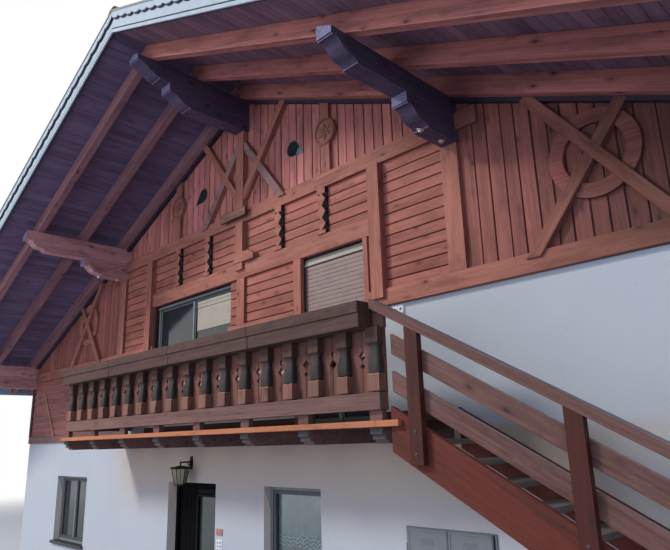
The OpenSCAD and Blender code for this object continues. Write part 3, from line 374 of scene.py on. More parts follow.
def wood(name, base, dark, grain, tone=0.3, knots=1.0, worn=0.0, worn_colour=(0.3, 0.25, 0.22), rough=0.62,
         gloss=0.3, lines=58, bend=26, bleach_and_shade=0.0):
    """Stained softwood: streaks and growth rings along the grain, knots, and a tone for each board.

    tone is how far the boards differ, lines is the number of growth rings in a metre, bend is how far they
    wander, and the last share is how much darker the wood is close under the roof: partly wood kept out of
    sun and rain, partly painted shade of the roof.
    """
    g = Graph(name)
    island = g.island()
    turned = g.node("ShaderNodeMapping", {"vector_type": "POINT"}, {
        "Vector": g.place(), "Rotation": GRAINS[grain]}).outputs[0]
    here = g.vector("ADD", turned, g.joined(island * 31.7, island * 17.3, island * 47.9))
    warp = g.noise(g.vector("MULTIPLY", here, (0.7, 3.0, 3.0)), detail=2)
    streak = g.noise(g.vector("MULTIPLY", here, (1.1, 34, 34)), detail=4, roughness=0.65)
    fibre = g.noise(g.vector("MULTIPLY", here, (7, 190, 190)), detail=2)
    patch = g.noise(g.vector("MULTIPLY", here, (1.4, 4.5, 4.5)), detail=4, roughness=0.65)
    _, across, through = g.parts(here)
    rings = (((across + through * 0.8) * (lines * TURN) + warp * bend).sine() * 0.5 + 0.5) ** 2.0
    spots = g.cells(g.vector("MULTIPLY", here, (3.2, 6.8, 6.8)))
    knot = (1 - spots.step(0.05, 0.12)) * knots
    halo = (1 - spots.step(0.1, 0.3)) * knots
    crack = streak.step(0.70, 0.80)
    figure = streak.step(0.3, 0.72) * 0.36 + rings * 0.14 + fibre * 0.16
    ground = g.mix(figure, base, dark)
    blotchy = g.mix(patch.step(0.48, 0.72) * 0.55, ground, shade(dark, 0.85))
    pale = g.mix((1 - patch).step(0.5, 0.75) * 0.35, blotchy, shade(base, 1.3))
    if worn:
        rub = g.noise(g.vector("MULTIPLY", here, (2.2, 13, 13)), detail=5, roughness=0.7)
        pale = g.mix(rub.step(0.62 - worn * 0.3, 0.78) * worn, pale, worn_colour)
    ringed = g.mix((halo * 0.35).larger(crack * 0.6), pale, shade(dark, 0.55))
    toned = g.scaled(g.mix(knot * 0.85, ringed, shade(dark, 0.25)), 1 - tone / 2 + island * tone)
    # Painted shade under the roof, mixed with the darker wood that sun and rain don't reach
    if bleach_and_shade:
        x, _, z = g.parts(g.place())
        shelter_and_shade = (RIDGE - abs(x) * SLOPE - z).step(SHELTER_SHADE_NEAR, SHELTER_SHADE_FAR)
        # Painted shade on the right wing, together with its darker weathered timber
        weather_and_shade = 1 - x.step(WEATHER_AND_SHADE_START, WEATHER_AND_SHADE_END) * WEATHER_AND_SHADE
        toned = g.scaled(toned, (shelter_and_shade * bleach_and_shade + (1 - bleach_and_shade)) * weather_and_shade)
    height = streak * 0.6 + rings * 0.3 + fibre * 0.25 - knot * 0.4 - crack * 0.5
    return g.principled(
        Base_Color=toned, Roughness=(rough + streak * 0.2 - knot * 0.1), Specular_IOR_Level=gloss,
        Normal=g.bump(height, 0.0018, 0.8))


def end_grain(name, base, dark):
    """Sawn end of a beam: growth rings, drying cracks and grime."""
    g = Graph(name)
    here = g.place()
    rough = g.noise(here, 14, 5, 0.7)
    across, _, up = g.parts(here)
    rings = (((across * across + up * up) * 60 + rough * 5).sine() * 0.5 + 0.5)
    crack = 1 - g.cells(g.vector("MULTIPLY", here, (9, 9, 9)), 1, "DISTANCE_TO_EDGE").step(0.01, 0.05)
    tint = g.mix(rings * 0.35 + rough * 0.5, base, dark)
    return g.principled(
        Base_Color=g.mix(crack * 0.5, tint, shade(dark, 0.4)), Roughness=0.8,
        Normal=g.bump(rough - crack * 0.5, 0.003, 0.7))


# Where the render under the balcony gets painted shade, tinted by painted warm light from the deck:
# along the front, and up
WARM_LEFT, WARM_LEFT_FULL, WARM_RIGHT_FULL, WARM_RIGHT = -3.9, -2.7, 3.3, 6.0
WARM_LOW, WARM_LOW_FULL, WARM_TOP_FULL, WARM_TOP = 1.3, 2.5, 2.62, 2.70


def plaster(name, base):
    """Rubbed lime render: fine relief, short trowel marks, specks, soft stains, and painted warm shade under
    the balcony.
    """
    g = Graph(name)
    here = g.place()
    x, y, z = g.parts(here)
    grit = g.noise(here, 120, 4, 0.7)
    lumps = g.noise(here, 22, 4, 0.6)
    cloud = g.noise(here, 0.55, 4, 0.6)
    gate = g.noise(here, 1.7, 3, 0.6)
    streaks = g.noise(g.vector("MULTIPLY", here, (4.5, 4.5, 0.35)), 1, 4, 0.6)
    slant = g.joined(x * 6 + z * 4, y * 6, z * 24)
    strokes = g.cells(g.vector("ADD", slant, g.joined(lumps, lumps, lumps)))
    marks = (1 - strokes.step(0.07, 0.16)) * gate.step(0.45, 0.6)
    specks = 1 - g.cells(here, 5.5).step(0.02, 0.05)
    tint = g.mix(cloud.step(0.35, 0.75) * 0.5, base, shade(base, 0.86))
    stained = g.mix(streaks.step(0.5, 0.8) * 0.25, tint, (0.50, 0.51, 0.50))
    marked = g.mix((marks * 0.35).larger(specks * 0.5), stained, (0.30, 0.30, 0.30))
    # Painted shade under the balcony, tinted by painted warm light from the deck
    level = z.step(WARM_LOW, WARM_LOW_FULL) * (1 - z.step(WARM_TOP_FULL, WARM_TOP))
    length_wise = x.step(WARM_LEFT, WARM_LEFT_FULL) * (1 - x.step(WARM_RIGHT_FULL, WARM_RIGHT))
    front = 1 - y.step(WALL + 0.1, WALL + 0.3)
    return g.principled(
        Base_Color=g.mix(level * length_wise * front, marked, (1.04, 0.75, 0.53), "MULTIPLY"), Roughness=0.88,
        Specular_IOR_Level=0.3, Normal=g.bump(grit * 0.4 + lumps * 0.8 - marks * 0.6, 0.004, 0.55))


def paint(name, base, rough=0.5, grime=0.35):
    """Painted wood or metal with brush marks, dust in patches and a little gloss."""
    g = Graph(name)
    here = g.place()
    brush = g.noise(g.vector("MULTIPLY", here, (1, 1, 0.15)), 60, 3, 0.6)
    dust = g.noise(here, 7, 5, 0.65)
    tint = g.mix(dust.step(0.45, 0.75) * grime, base, shade(base, 0.6))
    lit = g.mix(brush * 0.25, tint, shade(base, 1.25))
    return g.principled(
        Base_Color=lit, Roughness=(rough + dust * 0.25), Normal=g.bump(brush + dust, 0.0008, 0.6))


def metal(name, base, rough=0.35, wear=0.3):
    """Bare or blackened metal with a worn, uneven sheen."""
    g = Graph(name)
    here = g.place()
    hammer = g.noise(here, 45, 4, 0.6)
    rust = g.noise(here, 16, 5, 0.7)
    tint = g.mix(rust.step(0.55, 0.8) * wear, base, (0.16, 0.07, 0.035))
    return g.principled(
        Base_Color=tint, Metallic=0.9, Roughness=(rough + hammer * 0.25), Normal=g.bump(hammer, 0.001, 0.6))


def concrete(name, base):
    """Smooth concrete with pores and a mottled tone."""
    g = Graph(name)
    here = g.place()
    pores = 1 - g.cells(here, 70).step(0.05, 0.2)
    mottle = g.noise(here, 3, 6, 0.65)
    tint = g.mix(mottle, shade(base, 0.75), shade(base, 1.15))
    return g.principled(
        Base_Color=g.mix(pores * 0.4, tint, shade(base, 0.5)), Roughness=0.9,
        Normal=g.bump(mottle - pores * 0.4, 0.004, 0.5))


def tiles(name, base):
    """Concrete roof tiles: each tile has its own tone, with lichen and soot."""
    g = Graph(name)
    here = g.place()
    island = g.island()
    sand = g.noise(here, 260, 2)
    mottle = g.noise(here, 5, 5, 0.65)
    lichen = g.cells(g.vector("ADD", here, g.joined(mottle, mottle, mottle)), 7).step(0.12, 0.3)
    tint = g.scaled(g.mix(mottle.step(0.35, 0.7), shade(base, 0.72), shade(base, 1.15)), 0.78 + island * 0.44)
    mossy = g.mix((1 - lichen) * mottle.step(0.5, 0.65) * 0.5, tint, (0.33, 0.34, 0.28))
    return g.principled(
        Base_Color=mossy, Roughness=0.85, Normal=g.bump(sand * 0.4 + mottle, 0.003, 0.6))


def glass(name, tint):
    """Window pane: clear through, with a reflection that grows towards grazing views."""
    g = Graph(name)
    ripple = g.noise(g.place(), 2.2, 2)
    clear = g.node("ShaderNodeBsdfTransparent", {}, {"Color": opaque(tint)})
    gloss = g.node("ShaderNodeBsdfGlossy", {}, {
        "Color": (1, 1, 1, 1), "Roughness": 0.03, "Normal": g.bump(ripple, 0.002, 0.4)})
    fresnel = g.number(g.node("ShaderNodeFresnel", {}, {"IOR": 1.55}), 0)
    return g.surface(g.node("ShaderNodeMixShader", {}, {
        0: fresnel * 0.3, 1: clear.outputs[0], 2: gloss.outputs[0]}))


def dark_glass(name, base):
    """Window pane with an unlit room behind it: near black, with soft reflections."""
    g = Graph(name)
    here = g.place()
    ripple = g.noise(here, 1.7, 3)
    haze = g.noise(here, 3.5, 4, 0.6)
    return g.principled(
        Base_Color=g.mix(haze, base, shade(base, 2.6)), Roughness=(0.04 + haze * 0.06),
        Specular_IOR_Level=0.7, Normal=g.bump(ripple, 0.003, 0.5))


HEM_Z = 1.49


def lace(name):
    """Lace curtain: open threads, and a darker looped hem."""
    g = Graph(name)
    x, y, z = g.parts(g.place())
    mesh = ((x * 520).sine() * 0.5 + 0.5).larger((z * 520).sine() * 0.5 + 0.5)
    figure = g.cells(g.joined(x * 11, y * 0, z * 13)).step(0.22, 0.3)
    loops = (z * 150 + abs((x * 27).sine()) * 8).sine() * 0.5 + 0.5
    hem = 1 - z.step(HEM_Z, HEM_Z + 0.025)
    cloth = g.mix(mesh * 0.5, (0.20, 0.23, 0.235), (0.32, 0.345, 0.34))
    looped = g.mix(loops.step(0.25, 0.75), (0.02, 0.05, 0.055), (0.33, 0.42, 0.42))
    dense = (1 - figure) * 0.35 + 0.45
    cover = (mesh * 0.35 + dense).larger(hem * 0.9).smaller(1.0)
    return g.principled(Base_Color=g.mix(hem * 0.85, cloth, looped), Roughness=0.9, Alpha=cover)


def glow_glass(name, tint):
    """Amber lantern glass with seeds and ripples."""
    g = Graph(name)
    seeds = g.noise(g.place(), 38, 3)
    return g.principled(
        Base_Color=g.mix(seeds, tint, shade(tint, 0.55)), Roughness=0.18, Transmission_Weight=0.55,
        Normal=g.bump(seeds, 0.002, 0.8))


def finish(name):
    return bpy.data.materials[name]


# Mesh building


def facade(u, v, w):
    """Along the front, up, and into the house from the front of the beams."""
    return (u, FRONT + w, v)


def left_side(u, v, w):
    return (-HALF_W + w, u, v)


def behind(u, v, w):
    return (u, BACK - w, v)


def roof_side(side):
    """Plane of a roof cover: along the ridge, down the slope from the ridge, and out of the roof."""
    def place(u, v, w):
        return (side * (v * math.cos(PITCH) + w * math.sin(PITCH)), u,
                RIDGE + COVER_TOP - v * math.sin(PITCH) + w * math.cos(PITCH))
    return place


def area_of(outline):
    return sum(a[0] * b[1] - b[0] * a[1] for a, b in zip(outline, outline[1:] + outline[:1])) / 2


def inset(outline, distance):
    """The outline moved inward by a distance."""
    if area_of(outline) < 0:
        return inset(outline[::-1], distance)[::-1]
    moved = []
    count = len(outline)
    for i in range(count):
        a, b, c = (Vector(outline[j % count]) for j in (i - 1, i, i + 1))
        before, after = (b - a).normalized(), (c - b).normalized()
        normal_a, normal_b = Vector((-before.y, before.x)), Vector((-after.y, after.x))
        middle = normal_a + normal_b
        if middle.length < 1e-6:
            moved.append(tuple(b))
            continue
        moved.append(tuple(b + middle * (distance / max(0.35, middle.dot(normal_a)))))
    return moved


def clip(outline, a, b, c):
    """What is left of the outline where a * u + b * v is under c."""
    kept = []
    for p, q in zip(outline, outline[1:] + outline[:1]):
        dp, dq = a * p[0] + b * p[1] - c, a * q[0] + b * q[1] - c
        if dp <= 0:
            kept.append(p)
        if (dp < 0 < dq) or (dq < 0 < dp):
            t = dp / (dp - dq)
            kept.append((p[0] + (q[0] - p[0]) * t, p[1] + (q[1] - p[1]) * t))
    return kept


def rectangle(u0, u1, v0, v1):
    return [(u0, v0), (u1, v0), (u1, v1), (u0, v1)]


def round_outline(u, v, radius, count):
    angles = [math.tau * i / count for i in range(count)]
    return [(u + radius * math.cos(a), v + radius * math.sin(a)) for a in angles]


def circle(centre, side, other, radius, count):
    """Points round a centre, in the plane of two directions."""
    angles = [math.tau * i / count for i in range(count)]
    return [tuple(Vector(centre) + (side * math.cos(a) + other * math.sin(a)) * radius) for a in angles]


def face_outward(mesh):
    """Turns the faces of closed parts outward."""
    work = bmesh.new()
    work.from_mesh(mesh)
    bmesh.ops.recalc_face_normals(work, faces=work.faces)
    work.to_mesh(mesh)
    work.free()


class Shape:
    """Collects closed parts, each with a material slot, and makes one object of them."""

    def __init__(self, place=facade):
        self.place = place
        self.points = []
        self.faces = []
        self.slots = []

    def loft(self, rings, slot=0, closed=True):
        """Skins rings of points of equal length, and caps the first and the last."""
        start = len(self.points)
        size = len(rings[0])
        for ring in rings:
            self.points.extend(ring)
        made = []
        for r in range(len(rings) - 1):
            a = start + r * size
            for i in range(size if closed else size - 1):
                j = (i + 1) % size
                made.append((a + i, a + j, a + size + j, a + size + i))
        if closed:
            made.append(tuple(start + i for i in reversed(range(size))))
            made.append(tuple(start + (len(rings) - 1) * size + i for i in range(size)))
        self.faces.extend(made)
        self.slots.extend([slot] * len(made))

    def prism(self, outline, near, far, chamfer=0.0, slot=0):
        """A board: its outline in the plane, from near to far, with chamfered front edges."""
        if len(outline) < 3 or abs(area_of(outline)) < 1e-5:
            return
        steps = [(outline, near), (outline, far)]
        if chamfer:
            steps = [(inset(outline, chamfer), near), (outline, near + chamfer), (outline, far)]
        self.loft([[self.place(u, v, w) for u, v in ring] for ring, w in steps], slot)

    def block(self, u0, u1, v0, v1, near, far, chamfer=0.0, slot=0):
        self.prism(rectangle(u0, u1, v0, v1), near, far, chamfer, slot)

    def turned(self, centre, axis, profile, count=20, slot=0):
        """A turned part: profile is a list of (distance along the axis, radius)."""
        axis = Vector(axis).normalized()
        side = axis.orthogonal().normalized()
        other = axis.cross(side)
        self.loft([circle(Vector(centre) + axis * along, side, other, radius, count)
                   for along, radius in profile], slot)

    def tube(self, path, radius, count=8):
        """A round bar along a path."""
        rings = []
        for i, p in enumerate(path):
            ahead = Vector(path[min(i + 1, len(path) - 1)]) - Vector(path[max(i - 1, 0)])
            axis = ahead.normalized()
            side = axis.cross(Vector((0.3, 0.4, 0.87))).normalized()
            rings.append(circle(p, side, axis.cross(side), radius, count))
        self.loft(rings)

    def build(self, name, finishes, slot_name, body="root", replaced=(), tidy=True, edge=0.0, smooth=False):
        """Makes the object, with its body, and drops the nodes that it replaces. Its slot name is not used.
        """
        mesh = bpy.data.meshes.new(name)
        mesh.from_pydata(self.points, [], self.faces)
        for made in finishes:
            mesh.materials.append(finish(made))
        mesh.polygons.foreach_set("material_index", self.slots)
        if tidy:
            face_outward(mesh)
        if smooth:
            mesh.polygons.foreach_set("use_smooth", [True] * len(mesh.polygons))
        mesh.update()
        made = bpy.data.objects.new(name, mesh)
        bpy.context.scene.collection.objects.link(made)
        if edge:
            soften(made, edge)
        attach(made, body)
        if replaced:
            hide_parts(*replaced)
        return made


def soften(made, width, weld=False):
    """Rounds the sharp edges of an object."""
    if weld:
        made.modifiers.new("weld", "WELD").merge_threshold = 0.0001
    bevel = made.modifiers.new("edges", "BEVEL")
    bevel.width = width
    bevel.segments = 2
    bevel.limit_method = "ANGLE"
    bevel.angle_limit = math.radians(40)
    bevel.use_clamp_overlap = True


def sizes():
    return bpy.context.scene.chalet_sizes


def colours():
    return bpy.context.scene.chalet_colours


# Finishes of the CAD nodes


DRESS = {
    "ground_slab": "concrete",
    "upper_floor": "floor boards",
    "knee_wall_left": "lime render",
    "upper_side_wall_left": "gable boards z",
    "bay_wall": "shade boards",
    "gable_wall_left": "shade boards",
    "gable_wall_right": "shade boards",
    "gable_wall_top": "shade boards",
    "back_gable_wall": "shade boards",
    "ridge_purlin": "purlin timber painted shade y",
    "mid_purlins": "purlin timber painted shade y",
    "eave_purlins": "eave timber painted light y",
    "wall_plates": "eave timber painted light y",
    "corbels": "purlin timber painted shade y",
    "rafters_left": "rafter timber left",
    "rafters_right": "rafter timber right",
    "eave_boards": "verge paint",
    "base_beams": "facade timber x",
    "head_beam": "facade timber x",
    "mid_beam": "facade timber x",
    "facade_posts": "facade timber z",
    "corner_posts": "facade timber z",
    "gable_ornaments": "facade timber z",
    "balcony_joists": "rail timber x",
    "balustrade_rails": "rail timber x",
    "flower_boxes": "box timber x",
    "stair_stringers": "stair timber",
    "stair_treads": "tread timber",
    "stair_posts": "stair posts z",
    "stair_rails": "stair rails",
    "side_window_frames": "window paint",
    "window_glass": "window glass",
    "door_frame": "door stain",
    "front_door": "door stain",
    "door_glass": "door glass",
    "door_handle": "steel",
    "meter_cabinet": "cabinet paint",
    "cabinet_door_left": "cabinet paint",
    "cabinet_door_right": "cabinet paint",
}
PLASTERED = ("front_wall_left", "wall_over_door", "front_wall_middle", "front_wall_right",
             "upper_masonry_right", "side_wall_right", "side_wall_left", "back_wall")
# Nodes whose sawn ends face the front, with the finish of these ends
SAWN = {"ridge_purlin": "end grain", "mid_purlins": "end grain", "eave_purlins": "end grain",
        "wall_plates": "end grain", "corbels": "end grain", "balcony_joists": "joist ends"}
ROUNDED = ("ridge_purlin", "mid_purlins", "eave_purlins", "wall_plates", "corbels", "rafters_left",
           "rafters_right", "base_beams", "head_beam", "mid_beam", "facade_posts", "corner_posts",
           "gable_ornaments", "balcony_joists", "balustrade_rails", "flower_boxes", "stair_stringers",
           "stair_treads", "stair_posts", "stair_rails", "side_window_frames", "door_frame",
           "eave_boards", "meter_cabinet", "cabinet_door_left", "cabinet_door_right")


def make_finishes():
    """Makes every material of the chalet from the colours of the scene."""
    c = colours()
    for axis in ("x", "y", "z"):
        wood(f"facade timber {axis}", c.facade, c.facade_dark, axis, tone=0.2, bleach_and_shade=0.22)
    for turn in ("brace_a", "brace_b"):
        wood(f"facade timber {turn}", c.facade, c.facade_dark, turn, tone=0.2, bleach_and_shade=0.1)
    wood("grey brace", c.grey_brace, c.facade_dark, "brace_a", tone=0.2, worn=0.2)
    wood("carved timber z", shade(c.facade, 0.75), c.facade_dark, "z", tone=0.15, bleach_and_shade=0.3)
    # Painted shade for the faces of the pendants turned to the right
    wood("carved shade z", shade(c.vase, 0.6), shade(c.vase_dark, 0.8), "z", tone=0.2)
    wood("bay boards x", c.boards, c.boards_dark, "x", tone=0.34, bleach_and_shade=0.1)
    wood("gable boards z", c.gable, c.gable_dark, "z", tone=0.45, bleach_and_shade=0.05)
    wood("wing boards z", c.wing, c.wing_dark, "z", tone=0.45, bleach_and_shade=0.02)
    wood("ring timber x", shade(c.wing, 1.35), shade(c.wing_dark, 1.1), "x", tone=0.1, bleach_and_shade=0.02)
    wood("knee boards x", c.wing, c.wing_dark, "x", tone=0.3)
    wood("shade boards", shade(c.gable_dark, 0.35), shade(c.gable_dark, 0.2), "z")
    # Painted shade and painted light: a dark blue copy of the purlin timber, and a pale red copy for the
    # eaves and the left mid purlin
    wood("purlin timber painted shade y", c.purlin, c.purlin_dark, "y", tone=0.25)
    wood("eave timber painted light y", c.eave, c.eave_dark, "y", tone=0.25)
    # Each slope gets its own colours as painted light: bluish on the left, warmer on the right
    for side, rafter, soffit in (("left", c.rafter, c.soffit), ("right", c.rafter_right, c.soffit_right)):
        wood(f"rafter timber {side}", rafter, c.rafter_dark, side, tone=0.3)
        wood(f"soffit boards {side}", soffit, c.soffit_dark, "y", tone=0.35, knots=0.5)
    # Painted shade: near-black timber that stands for the shadow in the gaps under the rafters and in the
    # verge trim
    wood("painted shade timber", shade(c.soffit_dark, 0.5), shade(c.soffit_dark, 0.3), "y")
    wood("baluster block z", c.block, c.block_dark, "z", tone=0.35, worn=0.2)
    # The caps are a much darker copy of the block timber, as painted shade under the flower boxes
    wood("baluster cap z", shade(c.block, 0.32), shade(c.block_dark, 0.4), "z", tone=0.3, worn=0.1)
    grey, worn_grey = (0.15, 0.135, 0.125), (0.34, 0.31, 0.28)
    wood("baluster vase z", c.vase, c.vase_dark, "z", tone=0.3, worn=0.2, worn_colour=grey)
    # A paler copy of the block timber, for the top chamfer of the foot blocks and the thin brace of the knee
    # wall
    wood("baluster edge z", shade(c.block, 1.7), c.block, "z", tone=0.2)
    wood("balustrade boards z", c.keyhole, c.keyhole_dark, "z", tone=0.4, worn=0.1)
    wood("rail timber x", c.rail, c.rail_dark, "x", tone=0.2, worn=0.25)
    wood("box timber x", c.box, c.box_dark, "x", tone=0.25, worn=0.2)
    # The deck planks are darkened as painted shade under the deck's edge board
    wood("deck boards x", shade(c.stair, 0.4), shade(c.stair_dark, 0.6), "x", tone=0.4)
    wood("deck edge x", c.deck, shade(c.deck, 0.6), "x", tone=0.1)
    wood("stair timber", c.stair, c.stair_dark, "stair", tone=0.2, lines=30, bend=48)
    wood("stair rails", shade(c.rail, 0.8), c.stair_dark, "stair", tone=0.4, worn=0.22, lines=30, bend=48)
    wood("worn rail", linear("#a09c9e"), shade(c.rail, 0.6), "stair", tone=0.2, lines=30, bend=48)
    wood("stair posts z", shade(c.stair, 0.5), shade(c.stair_dark, 0.6), "z", tone=0.2, worn=0.15)
    wood("tread timber", c.tread, shade(c.tread, 0.45), "y", tone=0.3, worn=0.5, worn_colour=worn_grey)
    wood("floor boards", linear("#b08a62"), linear("#7a5a3c"), "y")
    wood("door stain", c.door, shade(c.door, 0.5), "z", tone=0.1, rough=0.75, gloss=0.06)
    wood("door moulding", shade(c.door, 2.6), c.door, "z", tone=0.1, gloss=0.12)
    wood("name board x", linear("#a0705c"), linear("#613f33"), "x", tone=0.05)
    # The blue grey of the sawn ends of the purlins and plates is painted sky light
    end_grain("end grain", linear("#8983a3"), linear("#4b475a"))
    end_grain("joist ends", linear("#4e4a4c"), linear("#2b292b"))
    plaster("lime render", c.plaster)
    # Painted light: a warm, lit copy of the render for the reveals that face right
    plaster("painted light reveal render", (0.86, 0.77, 0.64))
    concrete("concrete", (0.42, 0.42, 0.40))
    tiles("roof tiles", c.tile)
    paint("verge paint", c.verge, 0.6, 0.35)
    paint("window paint", c.window)
    paint("window dark", shade(c.window, 0.3))
    paint("window cream", linear("#a39a8b"))
    paint("cabinet paint", c.cabinet, 0.5, 0.45)
    paint("shutter paint", linear("#907a72"), 0.55, 0.4)
    paint("socket white", linear("#dfe0de"), 0.35, 0.15)
    paint("clay tile", linear("#a9705d"), 0.4, 0.5)
    metal("black iron", (0.02, 0.02, 0.022), 0.5)
    metal("dark sheet", (0.07, 0.075, 0.085), 0.45, 0.1)
    metal("steel", (0.62, 0.62, 0.63), 0.22, 0.05)
    glass("window glass", (0.80, 0.86, 0.86))
    dark_glass("dark glass", (0.010, 0.013, 0.015))
    # Painted reflection: the pale blue of the upper panes stands for the sky they reflect
    dark_glass("painted sky glass", (0.15, 0.22, 0.26))
    dark_glass("door glass", (0.018, 0.024, 0.023))
    glow_glass("amber glass", (0.80, 0.72, 0.47))
    lace("lace")


def other_finishes(node):
    """Further finishes of a node, each with the test that picks its faces. The last that fits is used."""
    found = []
    if node == "window_glass":
        found.append(("dark glass", lambda face: not (
            face.center.y < WALL + 0.3 and 0 < face.center.x < 1.6 and face.center.z < GROUND_HEAD + 0.15)))
        # The upper panes get the painted sky reflection
        found.append(("painted sky glass", lambda face: face.center.z > MID_TOP))
    # Painted light: the left mid purlin and its corbels and the corbels at the eaves get the pale copy; the
    # right mid purlin and the other corbels keep the dark copy, as painted shade
    if node in ("corbels", "mid_purlins"):
        found.append(("eave timber painted light y", lambda face: face.center.x < -3 or face.center.x > SIDE_X - 0.6))
    if node == "stair_rails":
        found.append(("worn rail", lambda face: face.normal.z > 0.5))
    # Reveals that face right get the lit copy of the render, as painted light
    if node in PLASTERED:
        found.append(("painted light reveal render", lambda face: (
            face.normal.x > 0.9 and 0.01 < face.center.y - WALL < 0.2)))
    if node in SAWN:
        found.append((SAWN[node], lambda face: abs(face.normal.y) > 0.97 and face.center.y < FRONT - 0.1))
    # Painted shade: the faces of the pendants turned to the right get a near-black copy of the timber
    if node == "gable_ornaments":
        found.append(("carved shade z", lambda face: face.center.z < MID_LOW and face.normal.x > 0.3))
    return found


def dress_nodes():
    """Gives the CAD nodes their finishes and rounds the edges of beams, posts and boards."""
    edge = sizes().edge
    for node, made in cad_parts.items():
        made.data.materials.clear()
        made.data.materials.append(finish(DRESS.get(node, "lime render")))
        others = other_finishes(node)
        for name, _ in others:
            made.data.materials.append(finish(name))
        for face in made.data.polygons:
            fitting = [i + 1 for i, (_, fits) in enumerate(others) if fits(face)]
            face.material_index = fitting[-1] if fitting else 0
        if node in ROUNDED:
            soften(made, edge, weld=True)
        else:
            made.modifiers.new("weld", "WELD").merge_threshold = 0.0001


# Boards of the facade


def upright_boards(shape, x0, x1, foot, head, near, far, rng, holes=(), pitch=None):
    """Upright boards of slightly uneven width. holes are (x0, x1, z0, z1) that the boards leave open."""
    pitch = pitch or sizes().gable_pitch
    x = x0
    while x < x1 - 0.02:
        width = pitch * rng.uniform(0.88, 1.12)
        end = min(x1, x + width)
        if x1 - end < 0.05:
            end = x1
        gap = sizes().joint * rng.uniform(0.7, 1.5)
        a, b = x, end - (gap if end < x1 else 0)
        tilt = rng.uniform(-0.0025, 0.0025)
        outline = [(a, foot(a)), (b, foot(b)), (b + tilt, head(b)), (a + tilt, head(a))]
        back = rng.uniform(0, 0.003)
        for part in cut_round(outline, holes):
            shape.prism(part, near + back, far, 0.0035)
        x = end


def cut_round(outline, holes):
    """The parts of an upright board above and below the holes that it meets."""
    parts = [outline]
    for hx0, hx1, hz0, hz1 in holes:
        cut = []
        for part in parts:
            u = [p[0] for p in part]
            v = [p[1] for p in part]
            if not part or max(u) <= hx0 or min(u) >= hx1 or max(v) <= hz0 or min(v) >= hz1:
                cut.append(part)
                continue
            cut.append(clip(part, 0, 1, hz0))
            cut.append(clip(part, 0, -1, -hz1))
            middle = clip(clip(part, 0, 1, hz1), 0, -1, -hz0)
            cut.append(clip(middle, 1, 0, hx0))
            cut.append(clip(middle, -1, 0, -hx1))
        parts = [p for p in cut if len(p) > 2 and abs(area_of(p)) > 1e-4]
    return parts


def flat_boards(shape, x0, x1, z0, z1, near, far, rng):
    """Horizontal boards, laid down from the top."""
    pitch = sizes().bay_pitch
    z = z1
    while z > z0 + 0.015:
        lower = max(z0, z - pitch)
        back = rng.uniform(0, 0.003)
        shape.block(x0, x1, lower, z - (sizes().joint if z < z1 else 0.002), near + back, far, 0.004)
        z = lower


# Faces of the boards, behind the front of the beams
BOARD_NEAR = 0.045
BOARD_FAR = WALL - FRONT - 0.0005
BAY_NEAR = 0.040
# Gaps that the boards leave under the rafters and over the masonry, and the width of a window's trim
RAFTER_GAP = 0.004
SILL_TOP = MASONRY_Z + 0.13
TRIM_W = 0.11


def build_bay_boards():
    """Horizontal boards of the bay, between its posts, beams and openings."""
    rng = random.Random(11)
    shape = Shape()
    post_out = high("facade_posts").x
    post_in = post_out - 0.168
    corner = high("corner_posts").x - 0.2
    for side in (-1, 1):
        a, b = sorted((side * post_out, side * corner))
        flat_boards(shape, a, b, BASE_TOP, MID_LOW, BAY_NEAR, BOARD_FAR, rng)
        a, b = sorted((side * CENTRE_HALF, side * post_in))
        flat_boards(shape, a, b, HEAD_TOP, MID_LOW, BAY_NEAR, BOARD_FAR, rng)
    door_post = BAY_DOOR[0] - 0.14
    flat_boards(shape, BAY_WINDOW[1], -CENTRE_HALF, BASE_TOP, HEAD_LOW, BAY_NEAR, BOARD_FAR, rng)
    flat_boards(shape, CENTRE_HALF, door_post, BASE_TOP, HEAD_LOW, BAY_NEAR, BOARD_FAR, rng)
    shape.build("bay_boards", ["bay boards x"], "facade_timber")


# Drop-shaped windows: distance from the middle, radius, reach of the point in radii, wall of the lining
DROP_X = 1.06
DROP_R = 0.115
DROP_TIP = 2.2
DROP_LINING = 0.012


def drop_outline(side, radius):
    """Outline of a drop-shaped window, its point turned down along the roof slope."""
    tip = DROP_TIP * radius
    touch = math.acos(radius / tip)
    turn = math.radians(-30)
    points = []
    steps = 28
    for i in range(steps + 1):
        a = turn + touch + (math.tau - 2 * touch) * i / steps
        points.append((DROP_X + radius * math.cos(a), radius * math.sin(a)))
    points.append((DROP_X + tip * math.cos(turn), tip * math.sin(turn)))
    z = low("ridge_purlin").z - CORBEL_DROP - 0.63
    return [(side * u, z + v) for u, v in points]


def carve(made, cutter):
    """Takes the cutter's shape out of an object and removes the cutter."""
    modifier = made.modifiers.new("cut", "BOOLEAN")
    modifier.operation = "DIFFERENCE"
    modifier.solver = "EXACT"
    modifier.object = cutter
    graph = bpy.context.evaluated_depsgraph_get()
    mesh = bpy.data.meshes.new_from_object(made.evaluated_get(graph))
    made.modifiers.remove(modifier)
    made.data = mesh
    bpy.data.objects.remove(cutter)


def drop_cutter():
    """A tool for carve, in the shape of both drop-shaped windows."""
    shape = Shape()
    for side in (-1, 1):
        shape.prism(drop_outline(side, DROP_R), -0.2, 0.3)
    mesh = bpy.data.meshes.new("cutter")
    mesh.from_pydata(shape.points, [], shape.faces)
    face_outward(mesh)
    made = bpy.data.objects.new("cutter", mesh)
    bpy.context.scene.collection.objects.link(made)
    return made


